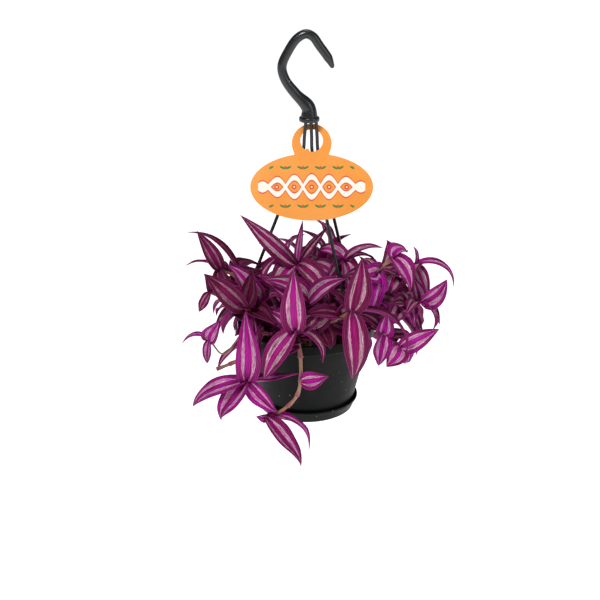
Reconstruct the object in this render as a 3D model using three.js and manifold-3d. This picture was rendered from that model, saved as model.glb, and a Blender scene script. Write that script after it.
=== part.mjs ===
import * as THREE from 'three';
import { mergeVertices } from 'three/addons/utils/BufferGeometryUtils.js';
import Module from 'manifold-3d';

// A purple and silver striped tradescantia growing in a small hanging pot with its saucer, its
// three-strand hanger with a hook, and an oval card tag on the hanger.
// Millimetres, +Z up. Heights in this file are measured from the underside of the saucer. The
// whole part is then lowered, so that its origin is the inner top of the hook, where it hangs.

const wasm = await Module();
wasm.setup();

// ---------------------------------------------------------------- driving dimensions
const HANG_HEIGHT = 334;      // inner top of the hook above the underside of the saucer
const CLEARANCE = 0.3;        // gap between two pieces that touch
const ROUND_SIDES = 24;       // sides of the turned pieces

const SAUCER = { base: 40, rim: 47, height: 12, wall: 1.6, floor: 1.5, lip: 0.8 };
const POT = {
  base: 41, bevel: 3, wallTop: 58.6, rim: 61.5, height: 82, lipHeight: 10, wall: 1.6, lipWall: 2.4,
};
const DRAIN = { count: 4, radius: 3.2, ring: 27, sides: 8 };
const SOIL = { edge: 68, crown: 71, holeGap: 1.2, holeSides: 6 };

const HOOK = {
  foot: [2.5, 268],
  steps: 24,
  sides: 8,
  line: [[2.5, 267], [1.6, 276], [-9.3, 288], [-18, 300], [-20.5, 311], [-15, 324], [-7.6, 334.3],
    [-0.4, 337.9], [5.4, 335.6], [11, 328], [18.2, 318], [22.4, 309.5]],
  radii: [7.2, 6.1, 4.6, 4.1, 4, 3.9, 3.9, 3.9, 3.9, 3.9, 3.8, 1.6],
};
const FLANGE = { radius: 8.8, top: 268, bottom: 264, bead: 1.2 };

const STRAND = { radius: 1.45, sides: 8, steps: 10, top: 263.7, straight: 238, foot: 84.5 };
const STRANDS = [
  { name: 'hanger_strand_left', start: -0.4, bend: [-2.8, 0], bearing: 180 },
  { name: 'hanger_strand_front', start: 4, bend: [5, 0], bearing: 310 },
  { name: 'hanger_strand_rear', start: 8.4, bend: [10, 1], bearing: 44 },
];
const CLIP = { width: 6, leg: 1.9, outerDrop: 13, innerDrop: 7, innerGap: 0.9, bridge: 3.4 };

const TAG = {
  centre: [4.6, -15.2, 210.5],
  lean: 21.8,
  width: 105,
  height: 57.5,
  thickness: 0.8,
  ring: { radius: 17, up: 37.2 },
  hole: { radius: 9.7, up: 39.8 },
  nub: { radius: 2, across: -3.7, up: 31 },
};

const STEM_RADIUS = 1.9;
const STEM_SIDES = 5;
const THIN_STEM_RADIUS = 1;
const STEM_TAPER = 0.25;      // share of its radius that a stem loses on the way to its tip
const ROOT_DEPTH = 11;        // how far a stem stands in the soil
const ROOT_FOOT = SOIL.crown - ROOT_DEPTH;
const BLADE = { thickness: 0.8, fold: 24, parts: [[50, 3], [70, 4], [90, 5]] };
const ROOM = 0.5;             // what a blade keeps clear of another leafy stem, each way
const SIBLING_START = 0.2;    // leaves of one stem may meet within this share of their length

// ---------------------------------------------------------------- finishes
const finish = (color, roughness, metalness = 0) => new THREE.MeshStandardMaterial({
  color,
  roughness,
  metalness,
});
const BLACK_PLASTIC = finish(0x26282a, 0.5);
const CARD = finish(0xfdb253, 0.45);
const EARTH = finish(0x33251b, 0.95);
const PURPLE_LEAF = finish(0x8a1c78, 0.45);

// ---------------------------------------------------------------- solids
const toVector = (xyz) => new THREE.Vector3(...xyz);
const radians = THREE.MathUtils.degToRad;

// Turns a closed three.js geometry into a solid that can be joined and cut.
function solid(geometry) {
  const bare = new THREE.BufferGeometry();
  bare.setAttribute('position', geometry.getAttribute('position').clone());
  if (geometry.index) bare.setIndex(geometry.index.clone());
  const merged = mergeVertices(bare, 1e-4);
  return new wasm.Manifold(new wasm.Mesh({
    numProp: 3,
    vertProperties: Float32Array.from(merged.attributes.position.array),
    triVerts: Uint32Array.from(merged.index.array),
  }));
}

function geometryOf(body) {
  const mesh = body.getMesh();
  const geometry = new THREE.BufferGeometry();
  geometry.setAttribute('position', new THREE.BufferAttribute(mesh.vertProperties, 3));
  geometry.setIndex(new THREE.BufferAttribute(mesh.triVerts, 1));
  geometry.computeVertexNormals();
  return geometry;
}

// A body turned about Z from [radius, height] points that run from the axis and back to it.
function turned(profile, sides = ROUND_SIDES) {
  const points = profile.map(([radius, height]) => new THREE.Vector2(radius, height));
  const geometry = new THREE.LatheGeometry(points, sides);
  return geometry.rotateX(Math.PI / 2);
}

// A round bar bent along a curve, with a radius that may change on the way. Its rings stand
// across the curve, and each one is turned as little as can be from the one before.
function bar(curve, radiusAt, steps, sides) {
  const geometry = new THREE.CylinderGeometry(1, 1, 1, sides, steps);
  const rings = [];
  let normal = new THREE.Vector3(0.2, 1, 0.1);
  for (let step = 0; step <= steps; step += 1) {
    const tangent = curve.getTangent(step / steps);
    normal = normal.clone().addScaledVector(tangent, -normal.dot(tangent)).normalize();
    const binormal = new THREE.Vector3().crossVectors(tangent, normal);
    rings.push({ point: curve.getPoint(step / steps), normal, binormal });
  }
  const position = geometry.getAttribute('position');
  for (let i = 0; i < position.count; i += 1) {
    const along = position.getY(i) + 0.5;
    const ring = rings[Math.round(along * steps)];
    const radius = radiusAt(along);
    const point = ring.point.clone()
      .addScaledVector(ring.binormal, position.getX(i) * radius)
      .addScaledVector(ring.normal, position.getZ(i) * radius);
    position.setXYZ(i, point.x, point.y, point.z);
  }
  return geometry;
}

function upright(radius, low, high, sides, x = 0, y = 0) {
  const geometry = new THREE.CylinderGeometry(radius, radius, high - low, sides);
  return geometry.rotateX(Math.PI / 2).translate(x, y, (low + high) / 2);
}

function fuse(bodies) {
  return bodies.reduce((whole, body) => whole.add(body));
}

// ---------------------------------------------------------------- pot, saucer, soil
const potFloor = SAUCER.floor + CLEARANCE;
const lipFoot = POT.height - POT.lipHeight;

// Outer radius of the pot's wall at a height.
function potWall(height) {
  const share = (height - potFloor) / (lipFoot - potFloor);
  return POT.base + (POT.wallTop - POT.base) * share;
}

function makePot() {
  const shoulder = potFloor + POT.bevel;
  const shell = solid(turned([
    [0, potFloor],
    [POT.base - POT.bevel, potFloor],
    [potWall(shoulder), shoulder],
    [POT.wallTop, lipFoot],
    [POT.rim, lipFoot + 1],
    [POT.rim, POT.height - 0.6],
    [POT.rim - 0.6, POT.height],
    [POT.rim - POT.lipWall, POT.height],
    [POT.rim - POT.lipWall, lipFoot + 2],
    [POT.wallTop - POT.wall, lipFoot - 1],
    [potWall(shoulder) - POT.wall, potFloor + POT.wall + POT.bevel / 2],
    [POT.base - POT.bevel - POT.wall, potFloor + POT.wall],
    [0, potFloor + POT.wall],
  ]));
  const drains = Array.from({ length: DRAIN.count }, (_, i) => {
    const turn = 2 * Math.PI * (i + 0.5) / DRAIN.count;
    const x = DRAIN.ring * Math.cos(turn);
    const y = DRAIN.ring * Math.sin(turn);
    return solid(upright(DRAIN.radius, 0, potFloor + 2 * POT.wall, DRAIN.sides, x, y));
  });
  return shell.subtract(fuse(drains));
}

function makeSaucer() {
  const seat = potFloor + POT.bevel;
  const seatGap = 0.45;
  return solid(turned([
    [0, 0],
    [SAUCER.base, 0],
    [SAUCER.base + 2.6, 1.6],
    [SAUCER.rim - 1.2, SAUCER.height - 1.6],
    [SAUCER.rim, SAUCER.height - 1.2],
    [SAUCER.rim, SAUCER.height],
    [SAUCER.rim - SAUCER.lip, SAUCER.height],
    [SAUCER.rim - SAUCER.wall, SAUCER.height - 0.6],
    [potWall(seat) + seatGap, seat],
    [POT.base - POT.bevel + SAUCER.wall, SAUCER.floor],
    [0, SAUCER.floor],
  ]));
}

// The soil fills the pot to below its lip, and has a plain hole for each stem.
function makeSoil(roots) {
  const floor = potFloor + POT.wall + CLEARANCE;
  const side = (height) => potWall(height) - POT.wall - 2 * CLEARANCE;
  const body = solid(turned([
    [0, floor],
    [POT.base - 5, floor],
    [side(floor + 3), floor + 3],
    [side(SOIL.edge), SOIL.edge],
    [side(SOIL.edge) * 0.6, SOIL.crown - 0.5],
    [0, SOIL.crown],
  ], ROUND_SIDES - 8));
  const holes = roots.map(([x, y, z, radius]) => solid(
    upright(radius + SOIL.holeGap, z - CLEARANCE, SOIL.crown + 1, SOIL.holeSides, x, y),
  ));
  return body.subtract(fuse(holes));
}

// ---------------------------------------------------------------- hanger
function makeHook() {
  const points = HOOK.line.map(([x, z]) => new THREE.Vector3(x, 0, z));
  const curve = new THREE.CatmullRomCurve3(points, false, 'centripetal');
  const radiusAt = (along) => {
    const place = along * (HOOK.radii.length - 1);
    const low = Math.min(Math.floor(place), HOOK.radii.length - 2);
    return THREE.MathUtils.lerp(HOOK.radii[low], HOOK.radii[low + 1], place - low);
  };
  const arm = solid(bar(curve, radiusAt, HOOK.steps, HOOK.sides));
  const flange = solid(turned([
    [0, FLANGE.bottom],
    [FLANGE.radius - FLANGE.bead, FLANGE.bottom],
    [FLANGE.radius, FLANGE.bottom + FLANGE.bead],
    [FLANGE.radius, FLANGE.top - FLANGE.bead],
    [FLANGE.radius - FLANGE.bead, FLANGE.top],
    [0, FLANGE.top],
  ], 16).translate(HOOK.foot[0], 0, 0));
  return arm.add(flange);
}

// The clip at a strand's foot: an upturned channel that sits over the pot's lip.
function makeClip(bearing) {
  const outer = POT.rim + CLEARANCE;
  const inner = POT.rim - POT.lipWall - CLIP.innerGap;
  const roof = POT.height + CLEARANCE;
  const shape = new THREE.Shape([
    new THREE.Vector2(outer, roof),
    new THREE.Vector2(outer, roof - CLIP.outerDrop),
    new THREE.Vector2(outer + CLIP.leg, roof - CLIP.outerDrop),
    new THREE.Vector2(outer + CLIP.leg, roof + CLIP.bridge),
    new THREE.Vector2(inner - CLIP.leg, roof + CLIP.bridge),
    new THREE.Vector2(inner - CLIP.leg, roof - CLIP.innerDrop),
    new THREE.Vector2(inner, roof - CLIP.innerDrop),
    new THREE.Vector2(inner, roof),
  ]);
  const geometry = new THREE.ExtrudeGeometry(shape, { depth: CLIP.width, bevelEnabled: false });
  geometry.translate(0, 0, -CLIP.width / 2).rotateX(Math.PI / 2);
  return solid(geometry.rotateZ(radians(bearing)));
}

function makeStrand({ start, bend, bearing }) {
  const radius = POT.rim + CLEARANCE;
  const foot = [radius * Math.cos(radians(bearing)), radius * Math.sin(radians(bearing))];
  const between = (share) => [0, 1].map((axis) => bend[axis] + (foot[axis] - bend[axis]) * share);
  const heightAt = (share) => STRAND.straight + (STRAND.foot - STRAND.straight) * share;
  const curve = new THREE.CatmullRomCurve3([
    new THREE.Vector3(start, 0, STRAND.top),
    new THREE.Vector3((start + bend[0]) / 2, bend[1] / 2, (STRAND.top + STRAND.straight) / 2),
    ...[0, 0.25, 0.5, 0.75, 1].map((share) => new THREE.Vector3(...between(share), heightAt(share))),
  ], false, 'centripetal');
  const cord = solid(bar(curve, () => STRAND.radius, STRAND.steps, STRAND.sides));
  return cord.add(makeClip(bearing));
}

// ---------------------------------------------------------------- card tag
function plate(radiusX, radiusY, x, y, depth, segments) {
  const shape = new THREE.Shape();
  shape.absellipse(x, y, radiusX, radiusY, 0, 2 * Math.PI);
  const geometry = new THREE.ExtrudeGeometry(shape, {
    depth,
    bevelEnabled: false,
    curveSegments: segments,
  });
  return solid(geometry.translate(0, 0, -depth / 2));
}

function makeTag() {
  const { ring, hole, nub, thickness } = TAG;
  const body = plate(TAG.width / 2, TAG.height / 2, 0, 0, thickness, 28)
    .add(plate(ring.radius, ring.radius, 0, ring.up, thickness, 18))
    .subtract(plate(hole.radius, hole.radius, 0, hole.up, 2 * thickness, 16))
    .add(plate(nub.radius, nub.radius, nub.across, nub.up, thickness, 8));
  return body;
}

// ---------------------------------------------------------------- leafy stems
// Where a leaf's upper face looks. The camera side of the part is -Y.
const SKY = [0, 0, 1];
const FRONT = [0, -1, 0.35];
const FRONT_LEFT = [-0.6, -1, 0.4];
const FRONT_RIGHT = [0.6, -1, 0.4];
const RIGHT = [1, -0.2, 0.3];

// A leaf starts at a joint of its stem, and reach is where its tip lies from there. bow is how
// far its midrib arches out of the straight line, as a share of the leaf's length.
const leaf = (joint, reach, width, bow, face, fold = BLADE.fold) => ({
  joint,
  reach,
  width,
  bow,
  face,
  fold,
});

// Leafy stems that show from the front: the route of each one, up out of the soil and over the
// pot's rim, and the leaves at its joints.
const SHOWN_STEMS = [
  {
    name: 'stem_front_trail',
    route: [[-8, -40, 60], [-8, -41, 76], [-8, -58, 93], [-7, -71, 93], [-5, -75, 78], [-5, -76, 56],
      [-8, -74, 42], [-16, -72, 31], [-28, -70, 22], [-36, -70, 20]],
    leaves: [
      leaf(9, [35, -13, -41], 19, 0.1, FRONT_RIGHT, 34),
      leaf(9, [42, 4, -34], 12, 0.22, SKY, 34),
      leaf(5, [23, -10, 9], 18, -0.06, FRONT_RIGHT),
      leaf(9, [-7, -6, 3], 8, 0.2, FRONT_LEFT),
    ],
  },
  {
    name: 'stem_front_middle',
    route: [[4, -36, 60], [4, -37, 76], [3, -52, 96], [-2, -66, 103], [-9, -80, 104]],
    leaves: [
      leaf(4, [-1, -4, 57], 24, 0.1, FRONT),
      leaf(4, [-27, -9, -42], 22, 0.14, FRONT_LEFT),
      leaf(4, [24, -6, -27], 12, 0.18, SKY, 34),
      leaf(3, [31, 8, 12], 20, 0.14, FRONT_RIGHT),
      leaf(3, [-28, 0, 20], 18, 0.12, FRONT_LEFT),
    ],
  },
  {
    name: 'stem_front_right',
    route: [[20, -30, 60], [19, -31, 76], [12, -52, 98], [14, -66, 105], [25, -74, 112],
      [38, -80, 122]],
    leaves: [
      leaf(5, [8, 6, 45], 24, 0.1, FRONT),
      leaf(5, [2, -4, -64], 25, 0.1, FRONT),
      leaf(5, [52, 0, -37], 13, 0.2, SKY, 30),
      leaf(4, [22, 12, 20], 18, 0.1, FRONT_RIGHT),
      leaf(3, [8, -10, -20], 18, 0.12, FRONT),
    ],
  },
  {
    name: 'stem_left_low',
    route: [[-28, -34, 60], [-29, -35, 76], [-37, -56, 92], [-42, -70, 80], [-51, -75, 56]],
    leaves: [
      leaf(4, [-1, -8, 67], 24, 0.1, FRONT),
      leaf(4, [13, 1, 60], 16, 0.08, FRONT_RIGHT),
      leaf(4, [-47, 2, -25], 17, 0.26, [-0.25, -0.7, 0.7]),
      leaf(4, [-26, -10, -32], 24, 0.12, FRONT_LEFT),
      leaf(4, [43, -10, 13], 14, -0.08, SKY, 30),
      leaf(4, [33, -3, -20], 17, 0.08, FRONT),
      leaf(3, [-25, 2, 14], 18, 0.14, FRONT_LEFT),
    ],
    stub: [[-40, -64, 86], [-55, -63, 72], [-66, -62, 66], [-77, -61, 61]],
  },
  {
    name: 'stem_left_sprig',
    thin: true,
    route: [[-40, -26, 60], [-41, -27, 76], [-52, -42, 92], [-59, -54, 86], [-72, -56, 73],
      [-83, -56, 86]],
    leaves: [
      leaf(5, [10, -6, 20], 16, 0.16, FRONT),
      leaf(5, [-24, 3, -4], 7, 0.24, SKY, 30),
      leaf(5, [-2, -3, -22], 9, 0.08, FRONT_LEFT),
    ],
  },
  {
    name: 'stem_left_middle',
    route: [[-20, -24, 60], [-21, -25, 76], [-36, -46, 102], [-52, -62, 118]],
    leaves: [
      leaf(3, [-33, -4, 33], 21, 0.1, FRONT_LEFT),
      leaf(3, [-16, -3, -5], 9, 0.12, SKY),
      leaf(3, [6, -2, 32], 17, 0.1, FRONT),
      leaf(2, [24, -10, 16], 18, 0.12, FRONT_RIGHT),
      leaf(2, [12, -14, -20], 17, 0.14, FRONT),
      leaf(2, [-26, -16, 10], 19, 0.14, FRONT_LEFT),
    ],
  },
  {
    name: 'stem_left_high',
    route: [[-32, -10, 60], [-33, -11, 76], [-44, -24, 112], [-58, -32, 134], [-74, -36, 143]],
    leaves: [
      leaf(4, [-19, 2, 34], 15, 0.14, FRONT),
      leaf(4, [-29, -2, 6], 7, 0.14, SKY, 34),
      leaf(3, [-43, 10, 42], 10, 0.16, SKY, 34),
      leaf(4, [8, -6, -22], 17, 0.12, FRONT_LEFT),
      leaf(2, [-24, 8, 34], 18, 0.12, FRONT),
      leaf(3, [20, -10, 10], 19, 0.14, FRONT),
    ],
  },
  {
    name: 'stem_left_drop',
    thin: true,
    route: [[-46, -14, 60], [-47, -15, 76], [-56, -36, 108], [-68, -48, 119], [-82, -50, 127]],
    leaves: [
      leaf(4, [-10, -3, -17], 10, 0.1, FRONT_LEFT),
      leaf(4, [-4, 0, 17], 5, 0.1, FRONT),
    ],
  },
  {
    name: 'stem_crown_left',
    route: [[-8, -12, 60], [-8, -13, 76], [-9, -17, 112], [-8, -20, 142]],
    leaves: [
      leaf(3, [-48, -6, 47], 18, 0.1, FRONT_LEFT),
      leaf(3, [5, 10, 37], 8, 0.08, FRONT, 36),
      leaf(3, [24, -5, 34], 11, -0.2, FRONT_RIGHT, 34),
      leaf(3, [-20, -18, -24], 21, 0.14, FRONT_LEFT),
      leaf(3, [30, -26, -28], 21, 0.16, FRONT_RIGHT),
      leaf(2, [-36, -10, 24], 19, 0.12, FRONT),
      leaf(2, [22, -28, 4], 19, 0.14, FRONT),
      leaf(2, [-14, -32, -6], 20, 0.14, FRONT),
    ],
  },
  {
    name: 'stem_crown_right',
    route: [[18, -8, 60], [18, -8, 76], [24, -10, 112], [34, -12, 141]],
    leaves: [
      leaf(3, [33, 4, 13], 12, 0.12, SKY, 34),
      leaf(3, [30, 18, -4], 9, 0.16, SKY, 34),
      leaf(3, [-24, 10, 8], 20, 0.2, SKY),
      leaf(3, [-22, -22, -6], 19, 0.14, FRONT),
      leaf(2, [24, -26, 12], 19, 0.12, FRONT),
      leaf(2, [-10, -30, 14], 19, 0.14, FRONT),
      leaf(3, [10, -30, -24], 19, 0.14, FRONT_RIGHT),
    ],
  },
  {
    name: 'stem_right_high',
    route: [[30, -20, 60], [31, -20, 76], [45, -30, 112], [60, -34, 140], [74, -34, 152]],
    leaves: [
      leaf(4, [16, -24, -22], 22, 0.2, FRONT_RIGHT),
      leaf(4, [14, 18, 0], 18, 0.2, SKY),
      leaf(3, [-18, -18, 6], 21, 0.18, FRONT),
      leaf(3, [-6, -26, -34], 21, 0.12, FRONT_RIGHT),
      leaf(2, [22, -24, 6], 19, 0.14, FRONT_RIGHT),
      leaf(2, [-16, 10, 22], 18, 0.12, FRONT),
      leaf(2, [6, -26, -12], 18, 0.14, FRONT),
    ],
  },
  {
    name: 'stem_right_far',
    route: [[42, -2, 60], [43, -2, 76], [60, -8, 104], [78, -10, 126], [94, -12, 138]],
    leaves: [
      leaf(4, [1, 4, 17], 8, 0.1, RIGHT),
      leaf(4, [39, 2, -19], 11, 0.24, SKY, 30),
      leaf(4, [12, -18, -26], 15, 0.16, FRONT_RIGHT),
      leaf(3, [-8, -20, -12], 19, 0.14, FRONT),
      leaf(3, [8, 24, 12], 19, 0.14, SKY),
      leaf(2, [26, -14, -4], 19, 0.16, FRONT_RIGHT),
    ],
  },
  {
    name: 'stem_right_middle',
    route: [[38, -22, 60], [39, -23, 76], [58, -32, 98], [80, -36, 109], [99, -36, 113]],
    leaves: [
      leaf(4, [22, 0, 21], 19, 0.12, FRONT_RIGHT),
      leaf(4, [12, -6, -23], 16, 0.22, RIGHT),
      leaf(4, [-3, 8, 20], 13, 0.12, FRONT),
      leaf(3, [-22, -18, -9], 18, 0.12, FRONT),
      leaf(3, [8, -14, -20], 18, 0.16, FRONT_RIGHT),
    ],
  },
  {
    name: 'stem_right_low',
    route: [[30, -35, 60], [31, -36, 76], [51, -45, 97], [66, -60, 94], [80, -62, 82]],
    leaves: [
      leaf(4, [33, -2, 18], 19, 0.18, FRONT_RIGHT),
      leaf(4, [-12, -10, -14], 20, 0.2, FRONT),
      leaf(4, [16, -8, -16], 17, 0.16, FRONT_RIGHT),
      leaf(3, [2, -10, 24], 17, 0.12, FRONT),
      leaf(3, [-4, -8, -28], 19, 0.12, FRONT_RIGHT),
    ],
  },
];

// Leafy stems of the sides and the back, which follow one rule: each leaves the soil at a
// bearing, arches to its span and height, and carries alternate leaves, or pairs of them.
const FILLING_STEMS = [
  { name: 'stem_back_right', bearing: 22, root: 34, span: 92, rise: 110, end: 92 },
  { name: 'stem_back_right_trail', bearing: 57, root: 44, span: 84, rise: 100, end: 44 },
  { name: 'stem_back_right_high', bearing: 74, root: 30, span: 74, rise: 110, end: 114 },
  { name: 'stem_back_middle', bearing: 91, root: 42, span: 92, rise: 104, end: 74 },
  { name: 'stem_back_middle_high', bearing: 104, root: 22, span: 56, rise: 106, end: 112 },
  { name: 'stem_back_left_trail', bearing: 122, root: 45, span: 84, rise: 98, end: 36 },
  { name: 'stem_back_left', bearing: 146, root: 34, span: 62, rise: 104, end: 88 },
  { name: 'stem_back_left_high', bearing: 160, root: 22, span: 46, rise: 104, end: 106 },
  { name: 'stem_left_back', bearing: 168, root: 42, span: 54, rise: 98, end: 90 },
  { name: 'stem_crown_front', bearing: 268, root: 24, span: 50, rise: 102, end: 116, pairs: true },
  { name: 'stem_crown_front_left', bearing: 222, root: 22, span: 60, rise: 104, end: 112, pairs: true },
  { name: 'stem_crown_back', bearing: 75, root: 8, span: 40, rise: 104, end: 112, pairs: true },
  { name: 'stem_right_back', bearing: 2, root: 26, span: 80, rise: 110, end: 86 },
];
const RULE = {
  seed: 20,
  length: [38, 52],
  width: [18, 24],
  bow: [0.1, 0.18],
  forward: 0.62,
  aside: 0.72,
  lift: [-0.1, 0.42],
};

// Draws that repeat exactly: a linear congruential series.
function drawsFrom(seed) {
  const modulus = 2 ** 32;
  let state = seed;
  return ([low, high]) => {
    state = (state * 1664525 + 1013904223) % modulus;
    return low + (high - low) * (state / modulus);
  };
}

function fillingStem({ name, bearing, root, span, rise, end, pairs }, order) {
  const draw = drawsFrom(RULE.seed + order);
  const out = new THREE.Vector3(Math.cos(radians(bearing)), Math.sin(radians(bearing)), 0);
  const aside = new THREE.Vector3(-out.y, out.x, 0);
  const at = (radius, height, sway) => out.clone()
    .multiplyScalar(radius)
    .addScaledVector(aside, sway)
    .setZ(height)
    .toArray();
  const room = span - root;
  const route = [
    at(root, ROOT_FOOT, 0),
    at(root, ROOT_FOOT + 16, 0),
    at(root + room * 0.3, 0.3 * ROOT_FOOT + 0.7 * rise, draw([-3, 3])),
    at(root + room * 0.62, rise, draw([-5, 5])),
    at(root + room * 0.86, (rise + end) / 2, draw([-6, 6])),
    at(span, end, draw([-8, 8])),
  ];
  const leaves = [];
  for (let joint = 2; joint < route.length; joint += 1) {
    const last = joint === route.length - 1;
    const heading = toVector(route[joint]).sub(toVector(route[joint - 1])).normalize();
    const hands = last ? [-1, 1, 0] : [joint % 2 ? 1 : -1];
    for (const hand of pairs && !last ? [-1, 1] : hands) {
      const length = draw(RULE.length);
      const lift = draw(RULE.lift);
      const reach = heading.clone()
        .multiplyScalar(hand ? RULE.forward : 1)
        .addScaledVector(aside, hand * RULE.aside)
        .add(new THREE.Vector3(0, 0, lift))
        .setLength(length);
      const face = out.clone().multiplyScalar(0.6).setZ(0.9).toArray();
      leaves.push(leaf(joint, reach.toArray(), draw(RULE.width), draw(RULE.bow), face));
    }
  }
  return { name, route, leaves, ringsPerJoint: 1 };
}

// Half the width of a leaf at a share of its length, as a share of its greatest half width.
function outline(share) {
  const peak = 0.394;
  return (share + 0.003) ** 0.55 * Math.max(1 - share, 0) ** 0.85 / peak;
}

// The shares of the length at which a blade is cut into parts.
function stations(parts, start) {
  return Array.from({ length: parts + 1 }, (_, i) => start + (1 - start) * i / parts);
}

// One leaf blade: a long pointed oval, folded along its midrib and arched, split into triangles
// in the same way on both faces. swell makes it thicker and wider all round, and start leaves
// off the first share of its length.
function blade({ base, reach, width, bow, face, fold }, swell = 0, start = 0) {
  const length = reach.length();
  const [, parts] = BLADE.parts.find(([most]) => length < most);
  const along = reach.clone().normalize();
  const normal = face.clone().addScaledVector(along, -face.dot(along)).normalize();
  const side = new THREE.Vector3().crossVectors(along, normal);
  const half = BLADE.thickness / 2 + swell;
  const points = [];
  for (const share of stations(parts, start)) {
    const slope = 4 * bow * (1 - 2 * share);
    const rise = 4 * bow * share * (1 - share) * length;
    const lean = Math.atan(slope);
    const up = normal.clone().multiplyScalar(Math.cos(lean)).addScaledVector(along, -Math.sin(lean));
    const rib = base.clone().addScaledVector(along, share * length).addScaledVector(normal, rise);
    const reachOut = outline(share) * width / 2 + swell;
    for (const hand of share < 1 ? [-1, 0, 1] : [0]) {
      const edge = rib.clone()
        .addScaledVector(side, hand * reachOut * Math.cos(radians(fold)))
        .addScaledVector(up, Math.abs(hand) * reachOut * Math.sin(radians(fold)));
      points.push(edge.clone().addScaledVector(up, half), edge.addScaledVector(up, -half));
    }
  }
  const at = (row, column, under) => (row * 3 + (row < parts ? column : 0)) * 2 + under;
  const faces = [];
  const triangle = (...corners) => {
    if (new Set(corners).size === 3) faces.push(...corners);
  };
  const quad = (a, b, c, d) => {
    triangle(a, b, c);
    triangle(a, c, d);
  };
  for (let row = 0; row < parts; row += 1) {
    quad(at(row, 0, 0), at(row, 1, 0), at(row + 1, 1, 0), at(row + 1, 0, 0));
    quad(at(row, 1, 0), at(row, 2, 0), at(row + 1, 2, 0), at(row + 1, 1, 0));
    triangle(at(row, 0, 1), at(row + 1, 1, 1), at(row, 1, 1));
    triangle(at(row, 0, 1), at(row + 1, 0, 1), at(row + 1, 1, 1));
    triangle(at(row, 1, 1), at(row + 1, 2, 1), at(row, 2, 1));
    triangle(at(row, 1, 1), at(row + 1, 1, 1), at(row + 1, 2, 1));
    quad(at(row, 0, 1), at(row, 0, 0), at(row + 1, 0, 0), at(row + 1, 0, 1));
    quad(at(row, 2, 0), at(row, 2, 1), at(row + 1, 2, 1), at(row + 1, 2, 0));
  }
  for (const column of [0, 1]) {
    quad(at(0, column, 1), at(0, column + 1, 1), at(0, column + 1, 0), at(0, column, 0));
  }
  const geometry = new THREE.BufferGeometry();
  geometry.setAttribute('position', new THREE.Float32BufferAttribute(points.flatMap((p) => p.toArray()), 3));
  geometry.setIndex(faces);
  return solid(geometry);
}

// The bends a leaf may take to come clear of what grows near it: [swing, dip, share of length].
const BENDS = [
  [0, 0, 1], [8, 0, 1], [-8, 0, 1], [0, 8, 1], [0, -8, 1], [8, 8, 1], [-8, 8, 1], [8, -8, 1], [-8, -8, 1],
  [16, 0, 1], [-16, 0, 1], [0, 16, 1], [0, -16, 1], [16, 16, 1], [-16, 16, 1], [16, -16, 1], [-16, -16, 1],
  [26, 0, 1], [-26, 0, 1], [0, 26, 1], [0, -26, 1], [0, 0, 0.8], [14, 10, 0.8], [-14, 10, 0.8],
  [14, -10, 0.8], [-14, -10, 0.8], [30, 16, 0.8], [-30, 16, 0.8], [30, -16, 0.8], [-30, -16, 0.8],
  [44, 0, 0.8], [-44, 0, 0.8], [0, 40, 0.8], [0, -40, 0.8], [0, 0, 0.6], [24, 0, 0.6], [-24, 0, 0.6],
  [0, 24, 0.6], [0, -24, 0.6], [60, 20, 0.7], [-60, 20, 0.7], [60, -20, 0.7], [-60, -20, 0.7],
  [0, 60, 0.7], [0, -60, 0.7], [90, 0, 0.7], [-90, 0, 0.7], [120, 20, 0.7], [-120, 20, 0.7],
];

function bent(plan, base, [swing, dip, share]) {
  const reach = toVector(plan.reach);
  const face = toVector(plan.face);
  const along = reach.clone().normalize();
  const normal = face.clone().addScaledVector(along, -face.dot(along)).normalize();
  const side = new THREE.Vector3().crossVectors(along, normal);
  const turn = new THREE.Quaternion().setFromAxisAngle(normal, radians(swing))
    .multiply(new THREE.Quaternion().setFromAxisAngle(side, radians(dip)));
  return {
    ...plan,
    base,
    reach: reach.applyQuaternion(turn).multiplyScalar(share),
    width: plan.width * (0.4 + 0.6 * share),
    face: normal.applyQuaternion(turn),
  };
}

const stemRadius = ({ thin }) => (thin ? THIN_STEM_RADIUS : STEM_RADIUS);

const stemCurve = (route) => new THREE.CatmullRomCurve3(route.map(toVector), false, 'centripetal');

function stemBody(route, radius, ringsPerJoint) {
  const taper = (along) => radius * (1 - STEM_TAPER * along);
  return solid(bar(stemCurve(route), taper, ringsPerJoint * (route.length - 1), STEM_SIDES));
}

function apart(one, other) {
  return one.min.some((low, axis) => low > other.max[axis] || one.max[axis] < other.min[axis]);
}

function clearOf(body, others) {
  const box = body.boundingBox();
  return others.every((other) => {
    if (apart(box, other.box)) return true;
    return body.intersect(other.body).isEmpty();
  });
}

// Grows every leafy stem in turn. A leaf that would cross another leaf or stem, the soil, the
// pot or its hanger is bent clear of it. One that finds no room is left off.
function growStems(plans, neighbours) {
  const placed = neighbours.map((body) => ({ owner: '', body, box: body.boundingBox() }));
  const grown = plans.map((plan) => {
    const radius = stemRadius(plan);
    const stalks = [plan.route, plan.stub].filter(Boolean)
      .map((route) => stemBody(route, radius, plan.ringsPerJoint ?? 2));
    for (const body of stalks) placed.push({ owner: plan.name, body, box: body.boundingBox() });
    return { ...plan, bodies: stalks };
  });
  for (const stem of grown) {
    const others = placed.filter(({ owner }) => owner !== stem.name);
    const siblings = [];
    for (const plan of stem.leaves) {
      const base = toVector(stem.route[plan.joint]);
      const fits = BENDS.map((bend) => bent(plan, base, bend))
        .find((trial) => clearOf(blade(trial, ROOM), others)
          && clearOf(blade(trial, ROOM, SIBLING_START), siblings));
      if (!fits) continue;
      const body = blade(fits);
      const free = blade(fits, 0, SIBLING_START);
      stem.bodies.push(body);
      siblings.push({ body: free, box: free.boundingBox() });
      placed.push({ owner: stem.name, body, box: body.boundingBox() });
    }
  }
  return grown;
}

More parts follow.
